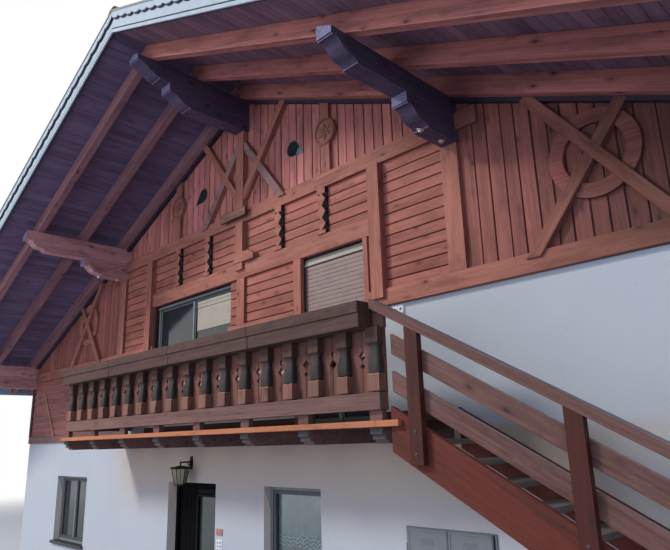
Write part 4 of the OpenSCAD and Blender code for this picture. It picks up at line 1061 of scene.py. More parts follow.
def build_gable_boards():
    """Upright boards of the gable and the wings, the linings of the drop windows and the strips above."""
    rng = random.Random(5)
    corner = high("corner_posts").x

    def stand(shape, side, inner, outer, foot):
        a, b = sorted((side * inner, side * outer))
        upright_boards(
            shape, a, b, lambda x: foot, lambda x: under(x) - RAFTER_GAP, BOARD_NEAR, BOARD_FAR, rng)

    top = Shape()
    for side in (-1, 1):
        stand(top, side, CENTRE_HALF, corner - 0.18, MID_TOP)
    made = top.build("gable_boards_top", ["gable boards z"], "facade_timber")
    carve(made, drop_cutter())
    for side, name in SIDES:
        wing = Shape()
        stand(wing, side, corner, SIDE_X, BASE_TOP)
        wing.build(f"gable_boards_{name}", ["wing boards z"], "facade_timber")
    build_drop_linings()
    build_rafter_strips()


def build_drop_linings():
    """Linings of the drop-shaped windows, as deep as the wall."""
    shape = Shape()
    near, far = BOARD_NEAR + 0.004, 0.19
    for side in (-1, 1):
        outer, inner = drop_outline(side, DROP_R), drop_outline(side, DROP_R - DROP_LINING)
        start, count = len(shape.points), len(outer)
        for outline, depth in ((outer, near), (inner, near), (inner, far), (outer, far)):
            shape.points.extend(facade(u, v, depth) for u, v in outline)
        for ring in range(4):
            a, b = start + ring * count, start + (ring + 1) % 4 * count
            for i in range(count):
                j = (i + 1) % count
                shape.faces.append((a + i, a + j, b + j, b + i))
                shape.slots.append(0)
    shape.build("drop_window_linings", ["window dark"], "window_paint")


def build_rafter_strips():
    """Strips in painted shade between the upright boards and the rafters, clear of the purlins."""
    shape = Shape()
    gap, foot, head = 0.002, -0.042, 0.02
    for side in (-1, 1):
        for a, b in ((RIDGE_HALF + gap, PURLIN_IN - gap), (PURLIN_OUT + gap, SIDE_X - gap)):
            corners = rectangle(a, b, foot, head)
            outline = [(side * x, under(x) + rise) for x, rise in corners]
            shape.prism(outline, -0.0195, BOARD_NEAR + gap)
    shape.build("rafter_strips", ["painted shade timber"], "roof_timber", edge=0.003)


def build_knee_boards():
    """Horizontal boards of the knee wall beside the balcony, their corner post, sill and thin brace."""
    rng = random.Random(8)
    x0, x1 = low("knee_wall_cladding").x, high("knee_wall_cladding").x
    post_w, face = 0.09, 0.036
    sill_joint = -6.27
    foot = SILL_TOP + 0.005
    shape = Shape()
    flat_boards(shape, -SIDE_X + 0.002, x1, foot, BASE_LOW - 0.002, face, BOARD_FAR, rng)
    flat_boards(shape, x0 + post_w + 0.002, -SIDE_X, foot, SIDE_WALL_Z - 0.002, face, BOARD_FAR, rng)
    shape.block(x0, sill_joint, MASONRY_Z, SILL_TOP, 0.020, BOARD_FAR, 0.004, 1)
    shape.block(sill_joint + 0.005, x1, MASONRY_Z, SILL_TOP, 0.022, BOARD_FAR, 0.004, 1)
    shape.block(x0 - 0.004, x0 + post_w, foot - 0.003, SIDE_WALL_Z, 0.018, BOARD_FAR, 0.004, 2)
    brace_foot, brace_head = Vector((-6.20, foot)), Vector((-6.86, 3.66))
    run = (brace_head - brace_foot).normalized()
    half = Vector((-run.y, run.x)) * 0.022
    corners = (brace_foot - half, brace_foot + half, brace_head + half, brace_head - half)
    shape.prism([tuple(corner) for corner in corners], 0.020, face, 0.003, 3)
    shape.build("knee_wall_boards", ["knee boards x", "rail timber x", "shade boards", "baluster edge z"],
                "weathered_timber", replaced=("knee_wall_cladding",))


def build_side_boards():
    """Upright boards of the left side and the back gable, with their foot boards and the window trims."""
    rng = random.Random(21)
    near, far = -0.024, 0.0
    base = (MASONRY_Z, MASONRY_Z + 0.125, -0.03, 0.0, 0.004, 1)
    corbel_foot, ridge_foot = low("corbels").z, 7.15

    def foot(x):
        return SILL_TOP

    def eave(x):
        return SIDE_WALL_Z - 0.002

    def slope(x):
        return under(x) - RAFTER_GAP

    y0, y1 = WALL + 0.001, BACK
    left = Shape(left_side)
    upright_boards(left, y0, y1, foot, eave, near, far, rng)
    left.block(y0, y1, *base)
    left.build("side_boards_left", ["wing boards z", "facade timber y"], "facade_timber")
    rear = Shape(behind)
    holes = back_windows()
    upright_boards(rear, -HALF_W, -SIDE_X, foot, eave, near, far, rng)
    upright_boards(rear, SIDE_X, HALF_W, foot, eave, near, far, rng)
    for a, b in ((-SIDE_X, -PURLIN_OUT), (-PURLIN_IN, -RIDGE_HALF),
                 (RIDGE_HALF, PURLIN_IN), (PURLIN_OUT, SIDE_X)):
        upright_boards(rear, a, b, foot, slope, near, far, rng, holes)
    for a, b, top in ((-PURLIN_OUT, -PURLIN_IN, corbel_foot), (PURLIN_IN, PURLIN_OUT, corbel_foot),
                      (-RIDGE_HALF, RIDGE_HALF, ridge_foot)):
        upright_boards(rear, a, b, foot, lambda x, top=top: top, near, far, rng, holes, pitch=0.2)
    rear.block(-HALF_W, HALF_W, *base)
    for x0, x1, z0, z1 in holes:
        lower, upper = z0 - TRIM_W, z1 + TRIM_W
        for u0, u1, v0, v1 in ((x0 - TRIM_W, x0, lower, upper), (x1, x1 + TRIM_W, lower, upper),
                               (x0, x1, z1, upper), (x0, x1, lower, z0)):
            rear.block(u0, u1, v0, v1, -0.045, -0.0245, 0.004, 1)
    rear.build("gable_boards_back", ["gable boards z", "facade timber x"], "facade_timber")


def back_windows():
    """Openings of the upper back windows."""
    half, sill, tall = 0.5, DECK_Z + 0.9, 1.14
    return [(HALF_W * share - half, HALF_W * share + half, sill, sill + tall) for share in (-0.2, 0.2)]


# Roof


def build_roof_boards():
    """Boards on the rafters, each laid in lengths that meet at random places."""
    count = int(COVER_X / math.cos(PITCH) / sizes().soffit_pitch)
    step = COVER_X / count
    for side, name in SIDES:
        rng = random.Random(31 + side)

        def place(u, v, w, side=side):
            """Along the ridge, down the slope, and down from the top of the roof boards."""
            return (side * v, u, under(v) + RAFTER_V + BOARD_V - w)

        shape = Shape(place)
        for i in range(count):
            v0, v1 = i * step + 0.0015, (i + 1) * step - 0.0015
            start = ROOF_Y0
            reach = rng.uniform(2.0, 5.0)
            while start < ROOF_Y1:
                end = min(ROOF_Y1, start + reach)
                if ROOF_Y1 - end < 0.8:
                    end = ROOF_Y1
                shape.block(start, end - 0.002, v0, v1, 0.0005, BOARD_V - 0.0008)
                start = end
                reach = rng.uniform(3.6, 5.2)
        shape.build(f"roof_boards_{name}", [f"soffit boards {name}"], "roof_timber",
                    replaced=(f"roof_boarding_{name}",), edge=0.003)


# Top of a tile across its width: place and height, for a tile 0.30 m wide
TILE_PROFILE = ((0.0, 0.012), (0.025, 0.028), (0.06, 0.037), (0.095, 0.028), (0.12, 0.012), (0.16, 0.003),
                (0.25, 0.003), (0.30, 0.012))
PROFILE_W = 0.30
# Depth of the tile bed under the tops of the courses of the CAD roof cover
TILE_SINK = 0.046


def build_tiles():
    """Roof tiles in courses, each tile a little off its place and height."""
    run = COVER_X / math.cos(PITCH)
    courses = round(run / sizes().tile_l)
    course = run / courses
    overhang, lap = 0.05, 0.04
    y0, y1 = low("verge_boards").y + 0.02, high("verge_boards").y - 0.01
    columns = int((y1 - y0) / sizes().tile_w)
    wide = (y1 - y0) / columns
    for side, name in SIDES:
        rng = random.Random(77 + side)
        place = roof_side(side)
        shape = Shape(place)
        for row in range(courses):
            lower = run - row * course + (overhang if row == 0 else 0)
            upper = max(0.05, run - (row + 1) * course - lap)
            for column in range(columns):
                u0 = y0 + column * wide
                jig, lift = rng.uniform(-0.004, 0.004), rng.uniform(-0.002, 0.003)
                edges = ((upper, 0.0), (lower + jig, 0.032 + lift), (lower + jig, 0.006))
                rings = []
                for v, rise in edges:
                    rings.append([
                        place(u0 + u * wide / PROFILE_W, v, h + rise - TILE_SINK) for u, h in TILE_PROFILE])
                shape.loft(rings, closed=False)
        shape.build(f"roof_tiles_{name}", ["roof tiles"], "roof_tiles", tidy=False,
                    replaced=(f"roof_cover_{name}",))


def build_ridge():
    """Half-round ridge tiles, each with a collar at its front end."""
    y0, y1 = low("verge_boards").y, high("verge_boards").y
    top = RIDGE + COVER_TOP - 0.02
    count = round((y1 - y0) / 0.36)
    step = (y1 - y0) / count
    lap = 0.045
    shape = Shape()
    for i in range(count):
        a, b = y0 + i * step, min(y0 + (i + 1) * step + lap, y1)
        rings = []
        for y, r in ((a, 0.135), (a + 0.04, 0.137), (a + 0.045, 0.128), (b, 0.122)):
            outer = [(r * math.cos(math.pi * k / 10), y, top + 0.012 + r * 0.85 * math.sin(math.pi * k / 10))
                     for k in range(11)]
            rings.append(outer + [(x * 0.88, y, top + (z - top) * 0.86) for x, y, z in reversed(outer)])
        shape.loft(rings)
    shape.build("ridge_tiles", ["roof tiles"], "roof_tiles")


# Verge boards: heights over the undersides of the rafters, and the width and depth of a scallop
VERGE_FOOT, VERGE_TOP = 0.165, 0.48
CAP_FOOT = 0.395
SCALLOP = 0.19
SCALLOP_DEEP = 0.030


def build_verge_boards():
    """Pale verge boards with a scalloped cap, battens and dark flashing, with strips in painted shade behind
    them, in place of the plain boards.
    """
    lo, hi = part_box("verge_boards")
    shape = Shape()
    count = round(hi.x / SCALLOP)

    def band(low_edge, high_edge, y0, y1, slot):
        """A strip that follows both slopes. low_edge gives points (x, rise) from the ridge to the eave."""
        for side in (-1, 1):
            outline = low_edge + [(x, high_edge) for x in (hi.x, 0.0)]
            shape.loft([[(side * x, y, under(x) + rise) for x, rise in outline] for y in (y0, y1)], slot)

    def level(rise):
        return [(0.0, rise), (hi.x, rise)]

    def scallops(rise):
        return [((i + k / 8) * hi.x / count, rise - SCALLOP_DEEP * math.sin(math.pi * k / 8) ** 0.7)
                for i in range(count) for k in range(8)] + [(hi.x, rise)]

    face = lo.y + 0.03
    # Slot 1 is painted shade: the board behind the trim, the groove between the battens and the scalloped
    # strip under the cap
    band(level(VERGE_FOOT + 0.004), VERGE_TOP, face + 0.006, face + 0.03, 1)
    band(level(VERGE_FOOT), VERGE_FOOT + 0.045, face - 0.012, face + 0.006, 0)
    band(level(VERGE_FOOT + 0.045), VERGE_FOOT + 0.066, face, face + 0.006, 1)
    band(level(VERGE_FOOT + 0.066), VERGE_FOOT + 0.082, face - 0.010, face + 0.006, 0)
    band(level(VERGE_FOOT + 0.090), VERGE_TOP, face, face + 0.006, 0)
    band(scallops(CAP_FOOT - 0.014), VERGE_TOP, lo.y + 0.008, face, 1)
    band(scallops(CAP_FOOT), VERGE_TOP - 0.02, lo.y, lo.y + 0.008, 0)
    band(level(VERGE_TOP - 0.02), VERGE_TOP + 0.012, lo.y - 0.006, lo.y + 0.008, 2)
    band(level(VERGE_TOP), VERGE_TOP + 0.012, lo.y + 0.008, lo.y + 0.10, 2)
    band(level(VERGE_FOOT), VERGE_TOP, hi.y - 0.03, hi.y, 0)
    band(level(VERGE_TOP - 0.03), VERGE_TOP + 0.012, hi.y, hi.y + 0.006, 2)
    band(level(VERGE_TOP), VERGE_TOP + 0.012, hi.y - 0.10, hi.y, 2)
    shape.build("verge_boards_scalloped", ["verge paint", "painted shade timber", "dark sheet"], "verge_timber",
                replaced=("verge_boards",))


# Ornaments and small parts


def petal(cx, cz, angle, length_out, width):
    """Lens-shaped outline from the middle of a rosette outward."""
    points = []
    for k in range(9):
        t = k / 8
        points.append((length_out * t, width * math.sin(math.pi * t)))
    for k in range(7, 0, -1):
        t = k / 8
        points.append((length_out * t, -width * math.sin(math.pi * t)))
    ca, sa = math.cos(angle), math.sin(angle)
    return [(cx + u * ca - v * sa, cz + u * sa + v * ca) for u, v in points]


# Ring boards of the wings: middle, radii, and the inner edge of the wing that carries them
WHEEL_X, WHEEL_Z = 4.9, 4.82
WHEEL_OUT, WHEEL_IN = 0.39, 0.262
WING_IN = 3.84
# Crossed braces: foot, head and finish, from the middle of the wheel or the foot of the ridge post
WHEEL_BRACES = (((-0.540, 0.740), (0.590, -0.745), 1), ((0.350, 0.458), (-0.640, -0.817), 2))
RIDGE_BRACES = (((0.040, 0.150), (1.000, 1.401), 2), ((0.030, 1.030), (0.930, -0.090), 1))
BRACE_W = 0.110


def brace_outline(a, b, width):
    a, b = Vector(a), Vector(b)
    run = (b - a).normalized()
    half = Vector((-run.y, run.x)) * width / 2
    return [tuple(a - half), tuple(b - half), tuple(b + half), tuple(a + half)]


def add_brace(shape, side, x, z, brace, near, far, foot, x_min):
    """One crossed brace, mirrored on the left, cut off at its foot and under the rafters."""
    a, b, slot = brace
    outline = [(x + u, z + v) for u, v in brace_outline(a, b, BRACE_W)]
    outline = clip(clip(clip(outline, 0, -1, -foot), SLOPE, 1, RIDGE - 0.001), -1, 0, -x_min)
    outline = [(side * u, v) for u, v in outline]
    shape.prism(outline, near, far, 0.006, slot if side > 0 else 3 - slot)


def build_wheels():
    """Ring boards and crossed braces on the wings, and the facings of the braces beside the ridge post."""
    back = BOARD_NEAR + 0.004

    def arc(side, radius, angles):
        return [(side * WHEEL_X + radius * math.cos(a), WHEEL_Z + radius * math.sin(a)) for a in angles]

    for side, name in SIDES:
        shape = Shape()
        for half in range(2):
            start, end = math.pi * (half + 0.303), math.pi * (half + 1.297)
            angles = [start + (end - start) * i / 40 for i in range(41)]
            outline = arc(side, WHEEL_OUT, angles) + arc(side, WHEEL_IN, reversed(angles))
            shape.prism(outline, 0.010 + 0.001 * half, back, 0.004, 0)
        for near, brace in zip((-0.025, -0.024), WHEEL_BRACES):
            add_brace(shape, side, WHEEL_X, WHEEL_Z, brace, near, -0.0008, BASE_TOP - 0.06, WING_IN)
            add_brace(shape, side, WHEEL_X, WHEEL_Z, brace, -0.0008, back, BASE_TOP, WING_IN)
        shape.build(f"wheel_{name}", ["ring timber x", "facade timber brace_a", "facade timber brace_b"],
                    "facade_timber", replaced=("wheel_ornaments",))
        facings = Shape()
        for near, brace in zip((-0.030, -0.0292), RIDGE_BRACES):
            add_brace(facings, side, 0, MID_TOP, brace, near, -0.0245, MID_TOP - 0.06, CENTRE_HALF)
        if side > 0:
            finishes = ["facade timber z", "grey brace", "facade timber brace_b"]
        else:
            finishes = ["facade timber z", "facade timber brace_a", "grey brace"]
        facings.build(f"brace_facings_{name}", finishes, "facade_timber")


# Rosettes: distance from the middle, height over the mid beam, and the radii of their parts
ROSETTE_X, ROSETTE_RISE = 1.72, 0.54
ROSETTE_RIM, ROSETTE_RIM_IN = 0.178, 0.150
ROSETTE_EYE, PETAL_REACH = 0.022, 0.118


def build_rosettes():
    """Petals, rim and middle of the round boards in the gable."""
    shape = Shape()
    back = 0.0005
    z = MID_TOP + ROSETTE_RISE
    for side in (-1, 1):
        x = side * ROSETTE_X
        for k in range(6):
            shape.prism(petal(x, z, QUARTER + math.tau * k / 6, PETAL_REACH, 0.026), -0.010, back, 0.004)
        shape.prism(round_outline(x, z, ROSETTE_EYE, 16), -0.014, back, 0.004)
        outer, inner = round_outline(x, z, ROSETTE_RIM, 48), round_outline(x, z, ROSETTE_RIM_IN, 48)
        rings = ((outer, back), (outer, -0.010), (inner, -0.010), (inner, back))
        shape.loft([[facade(u, v, w) for u, v in ring] for ring, w in rings])
    shape.build("gable_rosettes", ["carved timber z"], "facade_timber")


def build_name_board():
    """Bare board on two blocks in front of the foot of the ridge post."""
    shape = Shape()
    x0, x1, z0, z1 = -0.39, 0.20, 5.60, 5.735
    rim = 0.015
    face = -0.078
    for x in (-0.06, 0.06):
        shape.block(x - 0.018, x + 0.018, z0 + 0.03, z1 - 0.025, -0.058, -0.0395, 0.0, 0)
    shape.block(x0, x1, z0, z1, -0.072, -0.056, 0.004, 2)
    shape.block(x0 + rim, x1 - rim, z0 + 0.012, z1 - 0.012, face, -0.072, 0.003, 0)
    for x in (x0 + 0.04, x1 - 0.04):
        shape.turned(facade(x, 5.667, face), (0, -1, 0), ((0, 0.007), (0.002, 0.007), (0.004, 0.003)), 12, 1)
    shape.build("name_board", ["name board x", "steel", "shade boards"], "facade_timber")


def build_ogee_board():
    """Board on the head beam under the foot of the centre post, with an ogee at its right end."""
    shape = Shape()
    left, flat, reach = -0.10, 0.20, 0.345
    foot, tall, end = HEAD_TOP + 0.0005, 0.143, 0.082
    curve = []
    for k in range(13):
        rise = (tall - end) * (1 - math.cos(math.pi * k / 12)) / 2
        curve.append((reach - (reach - flat) * k / 12, HEAD_TOP + end + rise))
    shape.prism([(reach, foot)] + curve + [(left, HEAD_TOP + tall), (left, foot)], -0.050, BOARD_FAR, 0.004)
    shape.build("ogee_board", ["facade timber x"], "facade_timber")


# A bolt: distance along its axis and radius, for the washer and the head
BOLT = ((0, 0.021), (0.004, 0.021), (0.0045, 0.0125), (0.013, 0.0125), (0.015, 0.010))
# Posts of the outer stair: the first, and the distance to the next
STAIR_POST_X, STAIR_POST_STEP = 3.665, 1.255


def build_bolts():
    """Shiny washers under the mid corbels, and small dark bolts in the stair posts."""
    shape = Shape()
    washer = [(a * 1.6, r * 1.7) for a, r in BOLT]
    screw = [(a * 0.7, r * 0.62) for a, r in BOLT]
    corbel_x = (PURLIN_IN + PURLIN_OUT) / 2
    corbel_foot = low("mid_purlins").z - CORBEL_DROP
    for side in (-1, 1):
        for y in (-0.46, -0.12):
            shape.turned((side * corbel_x, FRONT + y, corbel_foot + 0.001), (0, 0, -1), washer, 14)
    post_y = low("stair_posts").y
    for i in range(4):
        x = STAIR_POST_X + i * STAIR_POST_STEP
        z = DECK_Z - STAIR_SLOPE * (x - STAIR_X) + 0.110
        for drop in (0.05, 0.22):
            shape.turned((x, post_y + 0.0005, z - drop), (0, -1, 0), screw, 12, 1)
    shape.build("bolts", ["steel", "dark sheet"], "steel")


def build_sockets():
    """Two wall sockets beside the balcony door, each a plate with a raised field and a dark middle."""
    shape = Shape()
    wall = WALL - FRONT
    wide, z0, z1 = 0.072, 3.815, 3.905
    for x0 in (2.632, 2.708):
        x1 = x0 + wide
        shape.block(x0, x1, z0, z1, wall - 0.020, wall + 0.002, 0.004, 0)
        shape.block(x0 + 0.013, x1 - 0.013, z0 + 0.021, z1 - 0.021, wall - 0.024, wall - 0.020, 0.002, 0)
        shape.block(x0 + 0.022, x1 - 0.022, z0 + 0.031, z1 - 0.031, wall - 0.0245, wall - 0.024, 0.0, 1)
    shape.build("wall_sockets", ["socket white", "dark sheet"], "window_paint")


def build_door_tiles():
    """Clay tile and white tile on the wall beside the front door, the white one with four leaves."""
    shape = Shape()
    wall = WALL - FRONT
    shape.block(-0.53, -0.39, 1.42, 1.50, wall - 0.010, wall + 0.002, 0.003, 0)
    shape.block(-0.52, -0.40, 1.255, 1.375, wall - 0.008, wall + 0.002, 0.003, 1)
    for v in (1.335, 1.29):
        for u in (-0.485, -0.435):
            leaf = petal(u - 0.014, v - 0.014, math.radians(45), 0.042, 0.009)
            shape.prism(leaf, wall - 0.0095, wall - 0.0075, 0.0, 2)
    shape.build("door_tiles", ["clay tile", "socket white", "dark sheet"], "roof_tiles")


def build_lantern():
    """Wall lantern: six-sided body with bars, amber panes and a hood, hung from a bracketed arm."""
    lo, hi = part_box("lantern")
    x, y = (lo.x + hi.x) / 2, FRONT - 0.12
    foot, head = lo.z, lo.z + 0.225
    arm = head + 0.078
    wall = WALL + 0.002
    foot_r, head_r = 0.075, 0.12
    iron = Shape()

    def corner(k, radius, z):
        a = math.tau * k / 6
        return (x + radius * math.cos(a), y + radius * math.sin(a), z)

    def middle(k, radius, z):
        a, b = corner(k, radius, z), corner(k + 1, radius, z)
        return ((a[0] + b[0]) / 2, (a[1] + b[1]) / 2, z)

    def six_sided(profile):
        iron.loft([[corner(k, radius, z) for k in range(6)] for radius, z in profile])

    for k in range(6):
        iron.tube([corner(k, foot_r, foot + 0.012), corner(k, head_r, head)], 0.006, 6)
        iron.tube([middle(k, foot_r, foot + 0.012), middle(k, head_r, head)], 0.003, 6)
    six_sided([(foot_r + 0.008, foot), (foot_r + 0.008, foot + 0.016)])
    six_sided([(head_r + 0.012, head - 0.008), (head_r + 0.012, head + 0.008)])
    six_sided([(0.146, head + 0.006), (0.138, head + 0.014), (0.060, head + 0.026), (0.026, head + 0.034)])
    knob = ((-0.004, 0.016), (0.006, 0.018), (0.016, 0.010), (0.026, 0.004))
    iron.turned((x, y, foot), (0, 0, -1), knob, 14)
    for z0, z1, half in ((head - 0.020, arm + 0.075, 0.020), (head + 0.02, arm + 0.03, 0.030)):
        plate = [(x - half, z0), (x + half, z0), (x + half, z1), (x - half, z1)]
        iron.loft([[(u, depth, v) for u, v in plate] for depth in (wall - 0.022, wall)])
    iron.tube([(x, wall - 0.01, arm), (x, y - 0.012, arm)], 0.010, 10)
    iron.tube([(x, y, arm), (x, y, head + 0.02)], 0.010, 10)
    stay = [(x, wall - 0.01, arm - 0.055), (x, wall - 0.05, arm - 0.045), (x, wall - 0.075, arm)]
    iron.tube(stay, 0.006, 8)
    iron.build("lantern_frame", ["black iron"], "dark_metal", replaced=("lantern",))
    amber = Shape()
    for k in range(6):
        a, b = corner(k, foot_r - 0.004, foot + 0.016), corner(k + 1, foot_r - 0.004, foot + 0.016)
        c, d = corner(k + 1, head_r - 0.004, head - 0.006), corner(k, head_r - 0.004, head - 0.006)
        inward = Vector((x, y, 0)) - Vector(((a[0] + b[0]) / 2, (a[1] + b[1]) / 2, 0))
        inward = inward.normalized() * 0.003
        pane = [a, b, c, d]
        amber.loft([pane, [tuple(Vector(p) + inward) for p in pane]])
    amber.build("lantern_panes", ["amber glass"], "glass")


def sash_window(shape, x0, x1, z0, z1, deep, sashes):
    """Outer frame and sashes of a window. Two sashes meet behind a narrow bar."""
    rim, gap, thick = 0.042, 0.003, 0.070
    frame_ring(shape, x0, x1, z0, z1, rim, deep, deep + thick)
    inner0, inner1 = x0 + rim, x1 - rim
    wide = (inner1 - inner0) / sashes
    for i in range(sashes):
        a, b = inner0 + i * wide + gap, inner0 + (i + 1) * wide - gap
        frame_ring(shape, a, b, z0 + rim + gap, z1 - rim - gap, 0.046, deep + 0.010, deep + thick - 0.006, 1)
    if sashes == 2:
        middle, half = (x0 + x1) / 2, 0.020
        shape.block(middle - half, middle + half, z0 + rim + 0.02, z1 - rim - 0.02,
                    deep - 0.004, deep + 0.010, 0.004)


# Section of a slat: height and depth
SLAT = ((0.0, 0.004), (-0.004, 0.001), (-0.024, 0.0), (-0.046, 0.001), (-0.050, 0.004), (-0.050, 0.011),
        (0.0, 0.011))
SLAT_PITCH = 0.052
SHUTTER_TOP = HEAD_LOW - 0.022


def slat(shape, x0, x1, z, depth, slot=0):
    """One slightly hollow slat of a roller shutter, hanging down from z."""
    shape.loft([[facade(x, z + down, depth + deep) for down, deep in SLAT] for x in (x0, x1)], slot)


def add_door_shutter(boxes, shutters):
    """Slanted box over the balcony door, and its shutter between two rails, let down most of the way."""
    x0, x1, z0 = BAY_DOOR
    top, foot = SHUTTER_TOP, z0 + 0.75
    profile = ((top, 0.090), (top - 0.078, 0.064), (top - 0.084, 0.068), (top - 0.084, 0.1095), (top, 0.1095))
    boxes.loft([[facade(x, z, depth) for z, depth in profile] for x in (x0 + 0.002, x1 - 0.002)])
    z = top - 0.098
    while z > foot:
        slat(shutters, x0 + 0.028, x1 - 0.028, z, 0.078)
        z -= SLAT_PITCH
    for x in (x0 + 0.002, x1 - 0.032):
        shutters.block(x, x + 0.030, foot, top - 0.086, 0.072, 0.094, 0.003, 1)


def add_window_shutter(boxes, shutters):
    """Flat box over the wide window, and two slats and a blind behind its right sash."""
    x0, x1, _ = BAY_WINDOW
    top = SHUTTER_TOP
    boxes.block(x0 + 0.002, x1 - 0.002, top - 0.030, top, 0.084, 0.1095, 0.004, 1)
    a, b = (x0 + x1) / 2 + 0.075, x1 - 0.095
    for z in (top - 0.075, top - 0.127):
        slat(shutters, a, b, z, 0.124, 2)
    shutters.block(a, b, top - 0.52, top - 0.182, 0.128, 0.136, 0.002, 2)


def build_windows():
    """Frames, sashes, sills, shutter boxes and shutters of the windows of the front."""
    frames, sills, boxes, shutters = Shape(), Shape(), Shape(), Shape()
    ground_deep, bay_deep = 0.160, 0.110
    horn = 0.03
    for (x0, x1, z0), sashes in ((LEFT_WINDOW, 2), (NARROW_WINDOW, 1)):
        sash_window(frames, x0, x1, z0, GROUND_HEAD, ground_deep, sashes)
        sills.block(x0 - horn, x1 + horn, z0 - 0.020, z0 + 0.004, 0.010, ground_deep, 0.004)
        sills.block(x0 - horn, x1 + horn, z0 - 0.045, z0 - 0.020, 0.010, 0.022, 0.003)
    for x0, x1, z0 in (BAY_WINDOW, BAY_DOOR):
        sash_window(frames, x0, x1, z0, HEAD_LOW, bay_deep, 2)
    add_door_shutter(boxes, shutters)
    add_window_shutter(boxes, shutters)
    frames.build("window_frames_sashes", ["window paint", "window dark"], "window_paint",
                 replaced=("window_frames",))
    sills.build("window_sills", ["dark sheet"], "dark_metal")
    boxes.build("shutter_boxes", ["window cream", "window paint"], "window_paint")
    shutters.build("roller_shutters", ["shutter paint", "window dark", "window cream"], "window_paint")


def frame_ring(shape, x0, x1, z0, z1, width, near, far, slot=0):
    """Four mitred bars round an opening."""
    outer = rectangle(x0, x1, z0, z1)
    inner = rectangle(x0 + width, x1 - width, z0 + width, z1 - width)
    for i in range(4):
        j = (i + 1) % 4
        shape.prism([outer[i], outer[j], inner[j], inner[i]], near, far, 0.003, slot)


def build_curtain():
    """Lace curtain in the narrow window, hung in folds from a rod behind the pane."""
    x0, x1, top, foot = 0.552, 1.364, 1.962, 1.345
    wide, tall = x1 - x0, top - foot
    depth = 0.216
    folds = 14
    across, rows = 168, 26

    def wave(t, s):
        """How far the cloth swings out of its plane, at a share of its width and of its drop."""
        swing = 0.013 * math.sin(math.tau * folds * t) + 0.004 * math.sin(math.tau * 3.3 * t)
        return swing * (0.75 + 0.25 * s)

    shape = Shape()
    for r in range(rows + 1):
        s = r / rows
        for k in range(across + 1):
            t = k / across
            arch = 0.036 * abs(math.sin(math.pi * folds / 2 * t)) * s ** 6
            shape.points.append(facade(x0 + wide * t, top - tall * s + arch, depth + wave(t, s)))
    for r in range(rows):
        for k in range(across):
            a = r * (across + 1) + k
            shape.faces.append((a, a + 1, a + across + 2, a + across + 1))
            shape.slots.append(0)
    made = shape.build("lace_curtain", ["lace"], "glass", tidy=False, smooth=True)
    rod = Shape()
    rod.tube([facade(x, top + 0.004, depth) for x in (x0 - 0.03, x1 + 0.03)], 0.007, 10)
    for x in (x0 - 0.02, x1 + 0.02):
        rod.block(x - 0.008, x + 0.008, top - 0.012, top + 0.016, 0.205, depth + 0.012, 0.002)
    rod.build("curtain_rod", ["steel"], "steel")


def build_door_details():
    """Boards, mouldings and the slotted panel over the glass on the leaf of the front door."""
    lo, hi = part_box("front_door")
    near = lo.y - FRONT
    far = near - 0.0005
    x0, x1 = -1.707, -0.638
    pane0, pane1, pane_foot, pane_head = -1.24, -0.76, 1.10, 1.852
    rim = 0.028
    count = 9
    shape = Shape()
    frame_ring(shape, pane0 - rim, pane1 + rim, pane_foot - rim, pane_head + rim, rim, near - 0.014, far, 1)
    step = (x1 - x0 - 0.16) / count
    keep_out = [(pane0 - 0.034, pane1 + 0.034, pane_foot - 0.034, hi.z - 0.04)]
    for k in range(count):
        a = x0 + 0.08 + k * step
        for part in cut_round(rectangle(a, a + step - 0.006, lo.z + 0.12, hi.z - 0.05), keep_out):
            shape.prism(part, near - 0.006, far, 0.003)
    for k in range(count):
        a = pane0 + 0.004 + k * 0.0532
        shape.block(a, a + 0.042, pane_head + 0.038, hi.z - 0.028, near - 0.010, far, 0.004, 1)
    shape.block(x0 + 0.01, x1 - 0.01, lo.z + 0.01, lo.z + 0.10, near - 0.010, far, 0.003)
    shape.build("door_boards", ["door stain", "door moulding"], "door_wood", body="entrance_door")
    fittings = Shape()
    plate = near - 0.008
    fittings.block(-0.725, -0.681, 0.96, 1.20, plate, near - 0.0004, 0.003)
    fittings.turned(facade(-0.703, 1.00, plate), (0, -1, 0), ((0, 0.012), (0.008, 0.012), (0.010, 0.009)), 16)
    fittings.build("door_lock_plate", ["steel"], "steel", body="entrance_door")


def build_cabinet_details():
    """Vent slots, rims and locks of the meter cabinet."""
    near, far = 0.022, 0.022 - 0.0004
    z0, z1 = 0.772, 1.748
    lock = ((-0.001, 0.013), (0.006, 0.013), (0.008, 0.010))
    for side, x0, x1 in (("left", 2.686, 3.147), ("right", 3.153, 3.614)):
        shape = Shape()
        frame_ring(shape, x0 + 0.006, x1 - 0.006, z0, z1, 0.022, near - 0.005, far)
        middle, half = (x0 + x1) / 2, 0.07
        for z in (0.86, 0.88, 0.90, 1.62, 1.64, 1.66):
            shape.block(middle - half, middle + half, z, z + 0.007, near - 0.006, far, 0.002)
        lock_x = x1 - 0.045 if side == "left" else x0 + 0.045
        shape.turned(facade(lock_x, 1.27, near), (0, -1, 0), lock, 18, 1)
        shape.build(f"cabinet_trim_{side}", ["cabinet paint", "steel"], "cabinet_metal",
                    body=f"cabinet_leaf_{side}")


SKIRTING_TOP = 2.832


